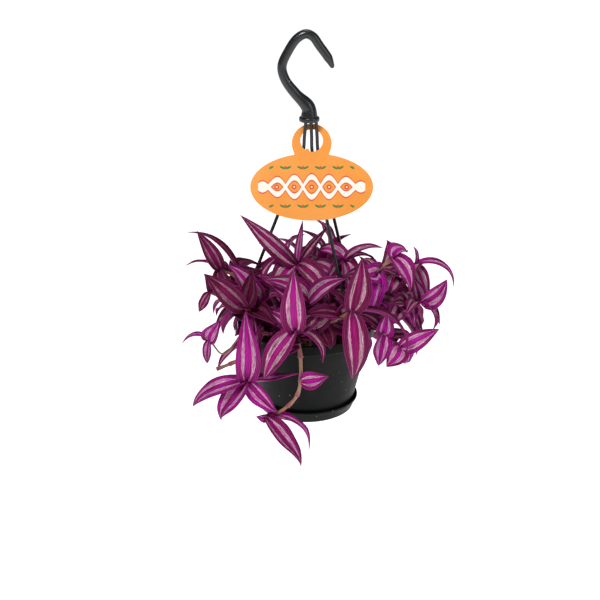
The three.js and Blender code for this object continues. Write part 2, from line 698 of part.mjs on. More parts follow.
// ---------------------------------------------------------------- the whole part
const tagPlace = new THREE.Object3D();
tagPlace.position.set(...TAG.centre);
tagPlace.rotation.x = Math.PI / 2 - radians(TAG.lean);
tagPlace.updateMatrix();

function moved(body, matrix) {
  return solid(geometryOf(body).applyMatrix4(matrix));
}

const pot = makePot();
const saucer = makeSaucer();
const hook = makeHook();
const strands = STRANDS.map((strand) => ({ name: strand.name, body: makeStrand(strand) }));
const tag = makeTag();
const plans = [...SHOWN_STEMS, ...FILLING_STEMS.map(fillingStem)];
const soil = makeSoil(plans.map((plan) => [...plan.route[0], stemRadius(plan)]));
const stems = growStems(plans, [
  pot,
  saucer,
  soil,
  hook,
  ...strands.map(({ body }) => body),
  moved(tag, tagPlace.matrix),
]);

const part = new THREE.Group();
part.position.z = -HANG_HEIGHT;

function add(name, body, material) {
  const mesh = new THREE.Mesh(geometryOf(body), material);
  mesh.name = name;
  part.add(mesh);
  return mesh;
}

add('pot', pot, BLACK_PLASTIC);
add('saucer', saucer, BLACK_PLASTIC);
add('soil', soil, EARTH);
add('hanger_hook', hook, BLACK_PLASTIC);
for (const { name, body } of strands) add(name, body, BLACK_PLASTIC);
for (const { name, bodies } of stems) add(name, fuse(bodies), PURPLE_LEAF);

const card = add('card_tag', tag, CARD);
card.position.copy(tagPlace.position);
card.rotation.copy(tagPlace.rotation);

export default part;
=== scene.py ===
"""Potted tradescantia: purple leaves striped in silver, in a black hanging pot with its saucer,
its three-strand hanger with a hook, and an oval card tag.

The part's sizes and the camera's place are in millimetres, with heights above the saucer's
underside, and place() turns them into the frame's metres. Lights and floor are in metres.
"""

import logging
import math
from dataclasses import dataclass, field
from enum import Enum
from typing import Callable, Iterable, Iterator, Sequence

import bmesh
import bpy
from mathutils import Matrix, Quaternion, Vector, noise
from mathutils.kdtree import KDTree


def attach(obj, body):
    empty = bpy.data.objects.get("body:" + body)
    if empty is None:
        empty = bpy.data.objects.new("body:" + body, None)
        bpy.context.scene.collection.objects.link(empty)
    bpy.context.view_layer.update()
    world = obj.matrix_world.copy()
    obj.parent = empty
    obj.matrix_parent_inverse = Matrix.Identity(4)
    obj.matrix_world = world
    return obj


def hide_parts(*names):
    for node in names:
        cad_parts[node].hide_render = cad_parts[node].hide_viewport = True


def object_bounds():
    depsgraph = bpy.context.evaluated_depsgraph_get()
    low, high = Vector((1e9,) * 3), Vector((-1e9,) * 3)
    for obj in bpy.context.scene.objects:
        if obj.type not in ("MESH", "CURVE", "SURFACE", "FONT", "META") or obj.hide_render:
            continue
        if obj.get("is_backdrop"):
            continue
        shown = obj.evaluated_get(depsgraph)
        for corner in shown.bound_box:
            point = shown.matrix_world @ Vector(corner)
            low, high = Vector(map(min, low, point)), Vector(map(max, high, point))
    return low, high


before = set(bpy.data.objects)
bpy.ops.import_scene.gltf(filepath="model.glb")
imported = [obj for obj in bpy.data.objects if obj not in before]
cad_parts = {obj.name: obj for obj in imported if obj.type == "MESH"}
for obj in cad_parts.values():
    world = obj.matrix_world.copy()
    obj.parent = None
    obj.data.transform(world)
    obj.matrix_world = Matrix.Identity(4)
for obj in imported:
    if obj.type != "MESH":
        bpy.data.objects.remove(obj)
cad_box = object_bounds()

log = logging.getLogger("tradescantia")

MM = 0.001
HANG_HEIGHT = 334.0

Triple = tuple[float, float, float]
Pair = tuple[float, float]
Ramp = tuple[float, float, float, float]
Colour = tuple[float, float, float, float]
Socket = bpy.types.NodeSocket
Material = bpy.types.Material
FLOAT, VECTOR = "NodeSocketFloat", "NodeSocketVector"

# The places of a Mix node's two colours and of its mixed colour among its sockets.
MIX_FROM, MIX_TO, MIXED = 6, 7, 2


def place(x: float, y: float, height: float) -> Vector:
    """Turns a place in millimetres above the saucer's underside into the frame's metres."""
    return Vector((x, y, height - HANG_HEIGHT)) * MM


def linear(red: int, green: int, blue: int) -> Colour:
    """Turns an 8-bit display colour into the linear colour that shaders take."""
    def channel(value: int) -> float:
        """Turns one channel."""
        share = value / 255
        return share / 12.92 if share <= 0.04045 else ((share + 0.055) / 1.055) ** 2.4
    return channel(red), channel(green), channel(blue), 1.0


# ------------------------------------------------------------------------------ mesh helpers
class Slot(Enum):
    """The record's material slots."""

    POT = "pot_plastic"
    HANGER = "hanger_plastic"
    SOIL = "potting_soil"
    TAG = "tag_card"
    LEAF = "leaf"
    STEM = "stem"


def finish_piece(
    bm: bmesh.types.BMesh,
    name: str,
    slot: Slot,
    materials: Sequence[Material],
    nodes: Iterable[str] = (),
    sharp_angle: float = 40.0,
) -> bpy.types.Object:
    """Makes an object of a mesh, dresses it and seats it in the frame.

    Args:
        bm: The mesh, in the frame's metres. It is freed.
        name: The piece's name.
        slot: The record's slot for the piece; it is not used.
        materials: The piece's materials, in the order of its faces' indices.
        nodes: The CAD nodes that the piece stands for.
        sharp_angle: Edges sharper than this many degrees stay crisp.

    Returns:
        The finished object.
    """
    mesh = bpy.data.meshes.new(name)
    bm.to_mesh(mesh)
    bm.free()
    mesh.shade_smooth()
    mesh.set_sharp_from_angle(angle=math.radians(sharp_angle))
    piece = bpy.data.objects.new(name, mesh)
    bpy.context.scene.collection.objects.link(piece)
    for material in materials:
        mesh.materials.append(material)
    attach(piece, "root")
    if nodes:
        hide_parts(*nodes)
    log.info("%s: %d faces", name, len(mesh.polygons))
    return piece


def spun(profile: Sequence[Pair], steps: int, centre: Pair = (0.0, 0.0)) -> bmesh.types.BMesh:
    """Spins a closed section about an upright axis.

    Args:
        profile: Radius and height of each point, in millimetres, from the axis back to it.
        steps: How many parts the full turn has.
        centre: Where the axis stands, in millimetres.

    Returns:
        The spun mesh, in the frame's metres.
    """
    bm = bmesh.new()
    verts = [bm.verts.new(place(centre[0] + radius, centre[1], height)) for radius, height in profile]
    edges = [bm.edges.new(pair) for pair in zip(verts, verts[1:])]
    bmesh.ops.spin(
        bm,
        geom=verts + edges,
        cent=place(centre[0], centre[1], 0),
        axis=(0, 0, 1),
        angle=2 * math.pi,
        steps=steps,
        use_merge=True,
    )
    bmesh.ops.remove_doubles(bm, verts=bm.verts, dist=1e-6)
    bmesh.ops.recalc_face_normals(bm, faces=bm.faces)
    return bm


def rounded(profile: Sequence[Pair], radii: Sequence[float], parts: int = 3) -> list[Pair]:
    """Rounds the corners of a section.

    Args:
        profile: The section's corners.
        radii: How far each corner is cut back before it is rounded; 0 leaves it sharp.
        parts: How many edges a rounded corner has.

    Returns:
        The section with its corners rounded.
    """
    points: list[Pair] = []
    for index, corner in enumerate(profile):
        cut = radii[index]
        if cut == 0 or index in (0, len(profile) - 1):
            points.append(corner)
            continue
        here = Vector(corner)
        before = Vector(profile[index - 1]) - here
        after = Vector(profile[index + 1]) - here
        start = here + before.normalized() * min(cut, before.length / 2)
        end = here + after.normalized() * min(cut, after.length / 2)
        for step in range(parts + 1):
            share = step / parts
            curve = start * (1 - share) ** 2 + here * 2 * share * (1 - share) + end * share ** 2
            points.append((curve.x, curve.y))
    return points


def smooth_route(points: Sequence[Triple], share: float) -> Vector:
    """Gives a point of the smooth curve through a route's points.

    Args:
        points: The route's points.
        share: How far along the route's points, from 0 to 1.

    Returns:
        The point, in the route's own unit.
    """
    route = [Vector(point) for point in points]
    spans = len(route) - 1
    span = min(int(share * spans + 1e-9), spans - 1)
    weight = share * spans - span
    second, third = route[span], route[span + 1]
    first = route[span - 1] if span > 0 else second * 2 - third
    fourth = route[span + 2] if span + 2 <= spans else third * 2 - second
    gaps = [(b - a).length ** 0.5 for a, b in ((first, second), (second, third), (third, fourth))]
    leave = (second - first) / gaps[0] - (third - first) / (gaps[0] + gaps[1])
    leave = (leave + (third - second) / gaps[1]) * gaps[1]
    arrive = (third - second) / gaps[1] - (fourth - second) / (gaps[1] + gaps[2])
    arrive = (arrive + (fourth - third) / gaps[2]) * gaps[1]
    square, cube = weight ** 2, weight ** 3
    return (
        second * (2 * cube - 3 * square + 1)
        + leave * (cube - 2 * square + weight)
        + third * (3 * square - 2 * cube)
        + arrive * (cube - square)
    )


def tube(
    bm: bmesh.types.BMesh,
    centre_at: Callable[[float], Vector],
    radius_at: Callable[[float], float],
    steps: int,
    sides: int,
    flat: float = 1.0,
) -> list[list[bmesh.types.BMVert]]:
    """Draws a round bar along a curve, ring by ring, and closes its ends.

    Args:
        bm: The mesh that the bar is added to.
        centre_at: The curve, in metres, from share 0 to 1.
        radius_at: The bar's radius, in metres, from share 0 to 1.
        steps: How many lengths the bar has.
        sides: How many sides the bar has.
        flat: How much deeper than wide the section is.

    Returns:
        The bar's rings of vertices.
    """
    frames = []
    normal = Vector((0.2, 1.0, 0.1))
    for step in range(steps + 1):
        share = step / steps
        ahead = centre_at(min(share + 0.002, 1.0)) - centre_at(max(share - 0.002, 0.0))
        tangent = ahead.normalized()
        normal = (normal - tangent * normal.dot(tangent)).normalized()
        across = tangent.cross(normal)
        radius = radius_at(share)
        turn = Matrix((across * radius, normal * radius * flat, tangent)).transposed().to_4x4()
        frames.append(Matrix.Translation(centre_at(share)) @ turn)
    made = bmesh.ops.create_circle(bm, cap_ends=False, radius=1.0, segments=sides, matrix=frames[0])
    ring = made["verts"]
    rings = [ring]
    edges = list({edge for vert in ring for edge in vert.link_edges})
    bmesh.ops.edgeloop_fill(bm, edges=edges)
    for before, after in zip(frames, frames[1:]):
        grown = bmesh.ops.extrude_edge_only(bm, edges=edges)["geom"]
        ring = new_verts(grown)
        edges = [
            item for item in grown
            if isinstance(item, bmesh.types.BMEdge) and all(vert in ring for vert in item.verts)
        ]
        bmesh.ops.transform(bm, matrix=after @ before.inverted(), verts=ring)
        rings.append(ring)
    bmesh.ops.edgeloop_fill(bm, edges=edges)
    return rings


def new_verts(geometry: Iterable[object]) -> list[bmesh.types.BMVert]:
    """Picks the vertices out of what an operator made."""
    return [item for item in geometry if isinstance(item, bmesh.types.BMVert)]


def tree_of(spots: Sequence[Vector]) -> KDTree:
    """Gives a search tree of some points."""
    tree = KDTree(len(spots))
    for index, spot in enumerate(spots):
        tree.insert(spot, index)
    tree.balance()
    return tree


# ------------------------------------------------------------------------------ shader helpers
class Sheet:
    """A node tree with short calls for the nodes that this file's materials use."""

    def __init__(self, tree: bpy.types.NodeTree) -> None:
        """Takes the tree that nodes are added to."""
        self.tree = tree

    def add(self, kind: str, **settings: object) -> bpy.types.Node:
        """Adds a node and sets its properties."""
        node = self.tree.nodes.new(kind)
        for name, value in settings.items():
            setattr(node, name, value)
        return node

    def feed(self, socket: Socket, value: object) -> None:
        """Links a socket, or sets its value where what is given isn't a socket."""
        if isinstance(value, Socket):
            self.tree.links.new(value, socket)
        else:
            socket.default_value = value

    def math(self, operation: str, *values: object, clamp: bool = False) -> Socket:
        """Puts one to three values through a Math node."""
        node = self.add("ShaderNodeMath", operation=operation, use_clamp=clamp)
        for socket, value in zip(node.inputs, values):
            self.feed(socket, value)
        return node.outputs[0]

    def times(self, first: object, second: object) -> Socket:
        """Multiplies two values."""
        return self.math("MULTIPLY", first, second)

    def plus(self, first: object, second: object, clamp: bool = False) -> Socket:
        """Adds two values."""
        return self.math("ADD", first, second, clamp=clamp)

    def minus(self, first: object, second: object, clamp: bool = False) -> Socket:
        """Takes the second value from the first."""
        return self.math("SUBTRACT", first, second, clamp=clamp)

    def scaled(self, value: object, factor: object, offset: object, clamp: bool = False) -> Socket:
        """Multiplies a value and adds an offset."""
        return self.math("MULTIPLY_ADD", value, factor, offset, clamp=clamp)

    def magnitude(self, value: object) -> Socket:
        """Gives a value without its sign."""
        return self.math("ABSOLUTE", value)

    def smooth(
        self,
        value: Socket,
        low: object,
        high: object,
        start: float = 0.0,
        end: float = 1.0,
    ) -> Socket:
        """Maps a value smoothly from one range to another.

        Args:
            value: What is mapped.
            low: The value that gives start.
            high: The value that gives end.
            start: The result at low.
            end: The result at high.

        Returns:
            The mapped value.
        """
        node = self.add("ShaderNodeMapRange", interpolation_type="SMOOTHSTEP")
        for name, given in zip(("Value", "From Min", "From Max", "To Min", "To Max"),
                               (value, low, high, start, end)):
            self.feed(node.inputs[name], given)
        return node.outputs["Result"]

    def mix(self, factor: object, first: object, second: object) -> Socket:
        """Mixes two colours."""
        node = self.add("ShaderNodeMix", data_type="RGBA")
        self.feed(node.inputs["Factor"], factor)
        self.feed(node.inputs[MIX_FROM], first)
        self.feed(node.inputs[MIX_TO], second)
        return node.outputs[MIXED]

    def noise(
        self,
        vector: Socket,
        scale: float,
        detail: float = 2.0,
        roughness: float = 0.5,
    ) -> Socket:
        """Gives the value of a noise texture."""
        node = self.add("ShaderNodeTexNoise")
        self.feed(node.inputs["Vector"], vector)
        self.feed(node.inputs["Scale"], scale)
        self.feed(node.inputs["Detail"], detail)
        self.feed(node.inputs["Roughness"], roughness)
        return node.outputs["Fac"]

    def place_on_object(self) -> Socket:
        """Gives the piece's own Object coordinates."""
        return self.add("ShaderNodeTexCoord").outputs["Object"]

    def bump(self, height: object, strength: float, distance: float) -> Socket:
        """Turns a height into a normal."""
        node = self.add("ShaderNodeBump")
        self.feed(node.inputs["Height"], height)
        self.feed(node.inputs["Strength"], strength)
        self.feed(node.inputs["Distance"], distance)
        return node.outputs["Normal"]

    def dress(
        self,
        shader: bpy.types.Node,
        colour: Socket,
        roughness: Socket,
        normal: Socket,
        shine: float = 0.5,
    ) -> None:
        """Finishes a shader.

        Args:
            shader: The material's shader.
            colour: Its colour.
            roughness: Its roughness.
            normal: Its normal.
            shine: How strongly it reflects, from 0 to 1.
        """
        self.feed(shader.inputs["Base Color"], colour)
        self.feed(shader.inputs["Roughness"], roughness)
        self.feed(shader.inputs["Normal"], normal)
        shader.inputs["Specular IOR Level"].default_value = shine


def new_group(
    name: str,
    inputs: Sequence[tuple[str, str]],
    outputs: Sequence[tuple[str, str]],
) -> tuple[Sheet, bpy.types.Node, bpy.types.Node]:
    """Starts a shader node group.

    Args:
        name: The group's name.
        inputs: The name and socket type of each input.
        outputs: The name and socket type of each output.

    Returns:
        The group's sheet, its input node and its output node.
    """
    tree = bpy.data.node_groups.new(name, "ShaderNodeTree")
    for label, kind in inputs:
        tree.interface.new_socket(name=label, in_out="INPUT", socket_type=kind)
    for label, kind in outputs:
        tree.interface.new_socket(name=label, in_out="OUTPUT", socket_type=kind)
    sheet = Sheet(tree)
    return sheet, sheet.add("NodeGroupInput"), sheet.add("NodeGroupOutput")


def new_material(name: str) -> tuple[Material, Sheet, bpy.types.Node]:
    """Starts a material and gives its sheet and its shader."""
    material = bpy.data.materials.new(name)
    material.use_nodes = True
    shader = material.node_tree.nodes["Principled BSDF"]
    return material, Sheet(material.node_tree), shader


def use_group(sheet: Sheet, tree: bpy.types.NodeTree, **values: object) -> bpy.types.Node:
    """Places a node group in a sheet and feeds its inputs."""
    node = sheet.add("ShaderNodeGroup", node_tree=tree)
    for name, value in values.items():
        sheet.feed(node.inputs[name], value)
    return node


@dataclass(frozen=True)
class BladeMarks:
    """A blade's stripes with their pale outlines, its midrib, margin, veins, streaks and patches.

    Places across run from 0 at the midrib to 1 at the edge, and places along from 0 at the base to
    1 at the tip. A ramp is a range and what it gives at its two ends. The margin's mark also darkens
    the blade's base: painted shade where the leaf meets its joint.
    """

    streaks: Triple = (12.6, 2.2, 52.0)
    cells: Triple = (30.0, 16.0, 71.0)
    patches: Triple = (3.0, 3.4, 23.0)
    streak_edge: Pair = (0.3, 0.7)
    cell_edge: Pair = (0.3, 0.65)
    patch_edge: Pair = (0.3, 0.7)
    ragged: Triple = (0.3, 0.2, -0.25)
    stripe_place: float = 0.45
    stripe_least: float = 0.06
    stripe_growth: float = 0.18
    stripe_core: float = 0.5
    stripe_opens: Ramp = (0.0, 0.34, 0.2, 1.0)
    stripe_closes: Ramp = (0.5, 1.0, 1.0, 0.04)
    stripe_breaks: Ramp = (0.25, 0.5, 0.35, 1.0)
    line_width: float = 0.05
    midrib_width: float = 0.06
    centre_fades: Ramp = (0.12, 0.46, 1.0, 0.0)
    centre_series: float = 41.0
    centre_varies: float = 0.26
    centre_dims: Ramp = (0.6, 1.0, 0.06, -0.16)
    margin_leans: float = 0.12
    margin_edge: Pair = (0.5, 0.86)
    # Painted shade at the blade's base, beside its joint, which joins the margin's mark.
    base_shade_fades: Ramp = (0.0, 0.16, 0.9, 0.0)
    vein_count: float = 44.0
    vein_drift: float = 5.0
    vein_edge: float = 0.6
    vein_relief: float = 0.5

    def build(self) -> bpy.types.NodeTree:
        """Builds the group, which takes a place on the blade, a tone and a breadth of stripe."""
        sheet, entry, leave = new_group(
            "blade_marks",
            [("Place", VECTOR), ("Tone", FLOAT), ("Breadth", FLOAT)],
            [("Silver", FLOAT), ("Line", FLOAT), ("Midrib", FLOAT), ("Centre", FLOAT), ("Margin", FLOAT),
             ("Streak", FLOAT), ("Cell", FLOAT), ("Vein", FLOAT), ("Patch", FLOAT), ("Relief", FLOAT)],
        )
        split = sheet.add("ShaderNodeSeparateXYZ")
        sheet.feed(split.inputs[0], entry.outputs["Place"])
        signed = sheet.scaled(split.outputs["X"], 2.0, -1.0)
        across = sheet.magnitude(signed)
        along = split.outputs["Y"]
        tone, breadth = entry.outputs["Tone"], entry.outputs["Breadth"]

        def drawn_out(stretch: Triple, detail: float, roughness: float) -> Socket:
            """Gives a noise drawn out along the blade, with another draw for each tone."""
            node = sheet.add("ShaderNodeCombineXYZ")
            for name, value, by in zip("XYZ", (signed, along, tone), stretch):
                sheet.feed(node.inputs[name], sheet.times(value, by))
            return sheet.noise(node.outputs[0], 1.0, detail, roughness)

        streak = drawn_out(self.streaks, 3.0, 0.6)
        cell = drawn_out(self.cells, 2.0, 0.6)
        patch = drawn_out(self.patches, 2.0, 0.5)
        by_streak, by_cell, settled = self.ragged
        ragged = sheet.scaled(streak, by_streak, sheet.scaled(cell, by_cell, settled))
        opened, closed = sheet.smooth(along, *self.stripe_opens), sheet.smooth(along, *self.stripe_closes)
        uneven = sheet.scaled(signed, sheet.minus(tone, 0.5), 1.0)
        broad = sheet.times(sheet.scaled(breadth, self.stripe_growth, self.stripe_least), uneven)
        wide = sheet.times(sheet.times(opened, closed), broad)
        off = sheet.plus(sheet.magnitude(sheet.minus(across, self.stripe_place)), ragged)
        core = sheet.smooth(off, sheet.times(wide, self.stripe_core), wide, 1.0, 0.0)
        rim = sheet.magnitude(sheet.minus(off, wide))
        varied = sheet.math("SINE", sheet.times(breadth, self.centre_series))
        lift = sheet.scaled(varied, self.centre_varies, sheet.smooth(tone, *self.centre_dims))
        outer = sheet.plus(across, sheet.scaled(along, self.margin_leans, ragged))
        # The base's mark is painted shade next to the joint; it goes out with the margin's.
        margin, base = sheet.smooth(outer, *self.margin_edge), sheet.smooth(along, *self.base_shade_fades)
        drift = sheet.times(streak, self.vein_drift)
        waves = sheet.math("SINE", sheet.scaled(across, self.vein_count, drift))
        marks = {
            "Silver": sheet.times(core, sheet.smooth(patch, *self.stripe_breaks)),
            "Line": sheet.smooth(rim, 0.0, self.line_width, 1.0, 0.0),
            "Midrib": sheet.smooth(across, 0.0, self.midrib_width, 1.0, 0.0),
            "Centre": sheet.times(sheet.smooth(across, *self.centre_fades), lift),
            "Margin": sheet.math("MAXIMUM", margin, base),
            "Streak": sheet.smooth(streak, *self.streak_edge),
            "Cell": sheet.smooth(cell, *self.cell_edge),
            "Vein": sheet.smooth(waves, self.vein_edge, 1.0),
            "Patch": sheet.smooth(patch, *self.patch_edge),
            "Relief": sheet.scaled(waves, self.vein_relief, streak),
        }
        for name, mark in marks.items():
            sheet.feed(leave.inputs[name], mark)
        return sheet.tree


@dataclass(frozen=True)
class Dust:
    """Fine specks and a faint film over a surface."""

    speck_edge: Pair = (0.08, 0.3)
    film_scale: float = 38.0
    film_edge: Pair = (0.42, 0.75)

    def build(self) -> bpy.types.NodeTree:
        """Builds the group, which takes the specks' scale and the share of places with one."""
        sheet, entry, leave = new_group(
            "dust",
            [("Scale", FLOAT), ("Amount", FLOAT)],
            [("Specks", FLOAT), ("Film", FLOAT)],
        )
        where = sheet.place_on_object()
        cells = sheet.add("ShaderNodeTexVoronoi")
        sheet.feed(cells.inputs["Vector"], where)
        sheet.feed(cells.inputs["Scale"], entry.outputs["Scale"])
        picked = sheet.add("ShaderNodeSeparateColor")
        sheet.feed(picked.inputs[0], cells.outputs["Color"])
        chosen = sheet.math("LESS_THAN", picked.outputs[0], entry.outputs["Amount"])
        dot = sheet.smooth(cells.outputs["Distance"], *self.speck_edge, 1.0, 0.0)
        sheet.feed(leave.inputs["Specks"], sheet.times(dot, chosen))
        film = sheet.noise(where, self.film_scale, 4.0, 0.6)
        sheet.feed(leave.inputs["Film"], sheet.smooth(film, *self.film_edge))
        return sheet.tree


def leaf_marks(sheet: Sheet, tree: bpy.types.NodeTree) -> tuple[bpy.types.NodeOutputs, Socket]:
    """Places the blade's marks in a leaf's sheet and gives them and the leaf's tone."""
    place_on = sheet.add("ShaderNodeUVMap", uv_map="blade").outputs["UV"]
    tone = sheet.add("ShaderNodeAttribute", attribute_name="tone").outputs["Fac"]
    breadth = sheet.add("ShaderNodeAttribute", attribute_name="breadth").outputs["Fac"]
    return use_group(sheet, tree, Place=place_on, Tone=tone, Breadth=breadth).outputs, tone


def soften_leaf(shader: bpy.types.Node) -> None:
    """Lets a little light through a leaf's skin."""
    shader.inputs["Subsurface Weight"].default_value = 0.1
    shader.inputs["Subsurface Scale"].default_value = 0.002
    shader.inputs["Subsurface Radius"].default_value = (1.0, 0.2, 0.7)


# ------------------------------------------------------------------------------ finishes
@dataclass(frozen=True)
class PlasticFinish:
    """Moulded black plastic: satin, with a fine grain, faint dust and a few specks of soil."""

    name: str
    colour: Colour
    dusty: Colour = linear(60, 57, 52)
    speck: Colour = linear(150, 138, 118)
    specks: float = 0.03
    speck_scale: float = 420.0
    film: float = 0.12
    worn_scale: float = 60.0
    worn_edge: Pair = (0.3, 0.75)
    roughness: Pair = (0.36, 0.52)
    shine: float = 0.06
    grain_scale: float = 900.0
    relief: Pair = (0.25, 0.0002)

    def material(self, dust: bpy.types.NodeTree) -> Material:
        """Builds the material."""
        material, sheet, shader = new_material(self.name)
        marks = use_group(sheet, dust, Scale=self.speck_scale, Amount=self.specks).outputs
        where = sheet.place_on_object()
        colour = sheet.mix(sheet.times(marks["Film"], self.film), self.colour, self.dusty)
        colour = sheet.mix(marks["Specks"], colour, self.speck)
        worn = sheet.noise(where, self.worn_scale, 5.0, 0.65)
        roughness = sheet.smooth(worn, *self.worn_edge, *self.roughness)
        height = sheet.plus(sheet.noise(where, self.grain_scale), marks["Specks"])
        sheet.dress(shader, colour, roughness, sheet.bump(height, *self.relief), self.shine)
        return material


@dataclass(frozen=True)
class LeafFinish:
    """The upper face of a leaf: magenta, with two silver stripes edged in pink and a plum margin.

    What is named by tone says how much of an effect a leaf has, from a dull, dark leaf's tone of 0
    to a lively one's of 1. Low tones are partly painted shade: the leaves inside the plant are
    darkened towards the shade colour.
    """

    name: str = "leaf_upper"
    deep: Colour = linear(90, 0, 38)
    bright: Colour = linear(172, 6, 122)
    violet: Colour = linear(198, 10, 178)
    # The plum of the margin, also used for the painted shade at the blade's base.
    margin: Colour = linear(90, 12, 52)
    vein: Colour = linear(190, 84, 156)
    silver: Colour = linear(198, 180, 178)
    olive: Colour = linear(118, 104, 88)
    lilac: Colour = linear(210, 138, 192)
    # The stripes of low-tone leaves: partly their own dull colour, partly painted shade.
    dull: Colour = linear(118, 14, 74)
    # The pink edge of the stripes, brightened so that it is partly painted highlight.
    line: Colour = linear(252, 198, 228)
    rib: Colour = linear(214, 70, 168)
    # Painted shade: leaves of low tone, inside the plant, are darkened towards this colour.
    shade: Colour = linear(48, 0, 16)
    lit_by_tone: float = 0.5
    lit_by_patch: float = 0.45
    lit_by_streak: float = 0.8
    unlit: float = -0.5
    violet_by_tone: Pair = (0.4, 0.85)
    margin_by_tone: Ramp = (0.3, 0.85, 0.95, 0.25)
    clear_by_tone: Ramp = (0.08, 0.45, 0.4, 1.0)
    dull_and_shade_by_tone: Ramp = (0.08, 0.4, 0.75, 0.0)
    lilac_by_tone: Ramp = (0.5, 0.9, 0.0, 0.8)
    painted_shade_by_tone: Ramp = (0.0, 0.36, 0.6, 0.0)
    broken: Ramp = (0.0, 0.8, 0.3, 1.0)
    vein_strength: float = 0.44
    rib_strength: float = 0.35
    glitter_scale: float = 1500.0
    glitter_edge: Pair = (0.35, 0.65)
    glitter_height: float = 0.2
    relief: Pair = (0.7, 0.0008)
    roughness: Pair = (0.3, 0.46)
    shine: float = 0.11

    def material(self, marks_tree: bpy.types.NodeTree) -> Material:
        """Builds the material."""
        material, sheet, shader = new_material(self.name)
        marks, tone = leaf_marks(sheet, marks_tree)
        streak, cell = marks["Streak"], marks["Cell"]
        grown = sheet.scaled(marks["Patch"], self.lit_by_patch, self.unlit)
        lit = sheet.scaled(streak, self.lit_by_streak, sheet.scaled(tone, self.lit_by_tone, grown))
        lively = sheet.plus(marks["Centre"], lit, clamp=True)
        vivid = sheet.mix(sheet.smooth(tone, *self.violet_by_tone), self.bright, self.violet)
        colour = sheet.mix(lively, self.deep, vivid)
        # The margin's mark gives the plum margin and the painted shade at the blade's base.
        rimmed = sheet.times(marks["Margin"], sheet.smooth(tone, *self.margin_by_tone))
        colour = sheet.mix(rimmed, colour, self.margin)
        clear = sheet.smooth(tone, *self.clear_by_tone)
        veined = sheet.times(marks["Vein"], sheet.times(clear, self.vein_strength))
        colour = sheet.mix(veined, colour, self.vein)
        stripe = sheet.mix(cell, self.olive, self.silver)
        # Low-tone leaves' stripes are dulled: partly their own colour, partly painted shade.
        stripe = sheet.mix(sheet.smooth(tone, *self.dull_and_shade_by_tone), stripe, self.dull)
        stripe = sheet.mix(sheet.smooth(tone, *self.lilac_by_tone), stripe, self.lilac)
        shown = sheet.times(marks["Silver"], sheet.smooth(cell, *self.broken))
        colour = sheet.mix(shown, colour, stripe)
        # The stripes' pink edges, partly painted highlight, on lively leaves.
        sharp = sheet.times(clear, sheet.smooth(streak, *self.broken))
        colour = sheet.mix(sheet.times(marks["Line"], sharp), colour, self.line)
        colour = sheet.mix(sheet.times(marks["Midrib"], self.rib_strength), colour, self.rib)
        # Painted shade over the leaves of low tone.
        colour = sheet.mix(sheet.smooth(tone, *self.painted_shade_by_tone), colour, self.shade)
        glitter = sheet.noise(sheet.place_on_object(), self.glitter_scale, 1.0)
        roughness = sheet.smooth(glitter, *self.glitter_edge, *self.roughness)
        height = sheet.scaled(glitter, self.glitter_height, marks["Relief"])
        sheet.dress(shader, colour, roughness, sheet.bump(height, *self.relief), self.shine)
        soften_leaf(shader)
        return material


@dataclass(frozen=True)
class LeafUndersideFinish:
    """The underside of a leaf: even, vivid purple with a paler midrib and fine veins."""

    name: str = "leaf_underside"
    deep: Colour = linear(84, 4, 56)
    bright: Colour = linear(152, 14, 114)
    vein: Colour = linear(170, 40, 140)
    rib: Colour = linear(196, 70, 160)
    lit_by_streak: float = 0.6
    lit_by_tone: float = 0.4
    vein_strength: float = 0.3
    rib_strength: float = 0.5
    relief: Pair = (0.35, 0.0003)
    roughness: Pair = (0.42, 0.56)
    shine: float = 0.14

    def material(self, marks_tree: bpy.types.NodeTree) -> Material:
        """Builds the material."""
        material, sheet, shader = new_material(self.name)
        marks, tone = leaf_marks(sheet, marks_tree)
        lit = sheet.scaled(marks["Streak"], self.lit_by_streak, sheet.times(tone, self.lit_by_tone))
        colour = sheet.mix(lit, self.deep, self.bright)
        colour = sheet.mix(sheet.times(marks["Vein"], self.vein_strength), colour, self.vein)
        colour = sheet.mix(sheet.times(marks["Midrib"], self.rib_strength), colour, self.rib)
        roughness = sheet.smooth(marks["Streak"], 0.0, 1.0, *self.roughness)
        sheet.dress(shader, colour, roughness, sheet.bump(marks["Relief"], *self.relief), self.shine)
        soften_leaf(shader)
        return material


@dataclass(frozen=True)
class StemFinish:
    """A jointed stem: blotched in tan and pink-brown, darker and purpler at its joints."""

    name: str = "stem_skin"
    tan: Colour = linear(150, 116, 80)
    pink: Colour = linear(128, 62, 68)
    joint: Colour = linear(136, 30, 78)
    blotch_scale: float = 140.0
    pink_by_blotch: float = 1.2
    pink_by_tone: float = 0.8
    unripe: float = -0.75
    joint_strength: float = 0.8
    skin_scale: float = 700.0
    roughness: Ramp = (0.3, 0.7, 0.36, 0.52)
    relief: Pair = (0.25, 0.0002)

    def material(self) -> Material:
        """Builds the material."""
        material, sheet, shader = new_material(self.name)
        where = sheet.place_on_object()
        joint = sheet.add("ShaderNodeAttribute", attribute_name="joint").outputs["Fac"]
        tone = sheet.add("ShaderNodeAttribute", attribute_name="tone").outputs["Fac"]
        blotch = sheet.noise(where, self.blotch_scale, 4.0, 0.6)
        by_tone = sheet.scaled(tone, self.pink_by_tone, self.unripe)
        ripe = sheet.scaled(blotch, self.pink_by_blotch, by_tone, clamp=True)
        skin = sheet.mix(ripe, self.tan, self.pink)
        colour = sheet.mix(sheet.times(joint, self.joint_strength), skin, self.joint)
        fine = sheet.noise(where, self.skin_scale)
        roughness = sheet.smooth(fine, *self.roughness)
        sheet.dress(shader, colour, roughness, sheet.bump(fine, *self.relief))
        return material


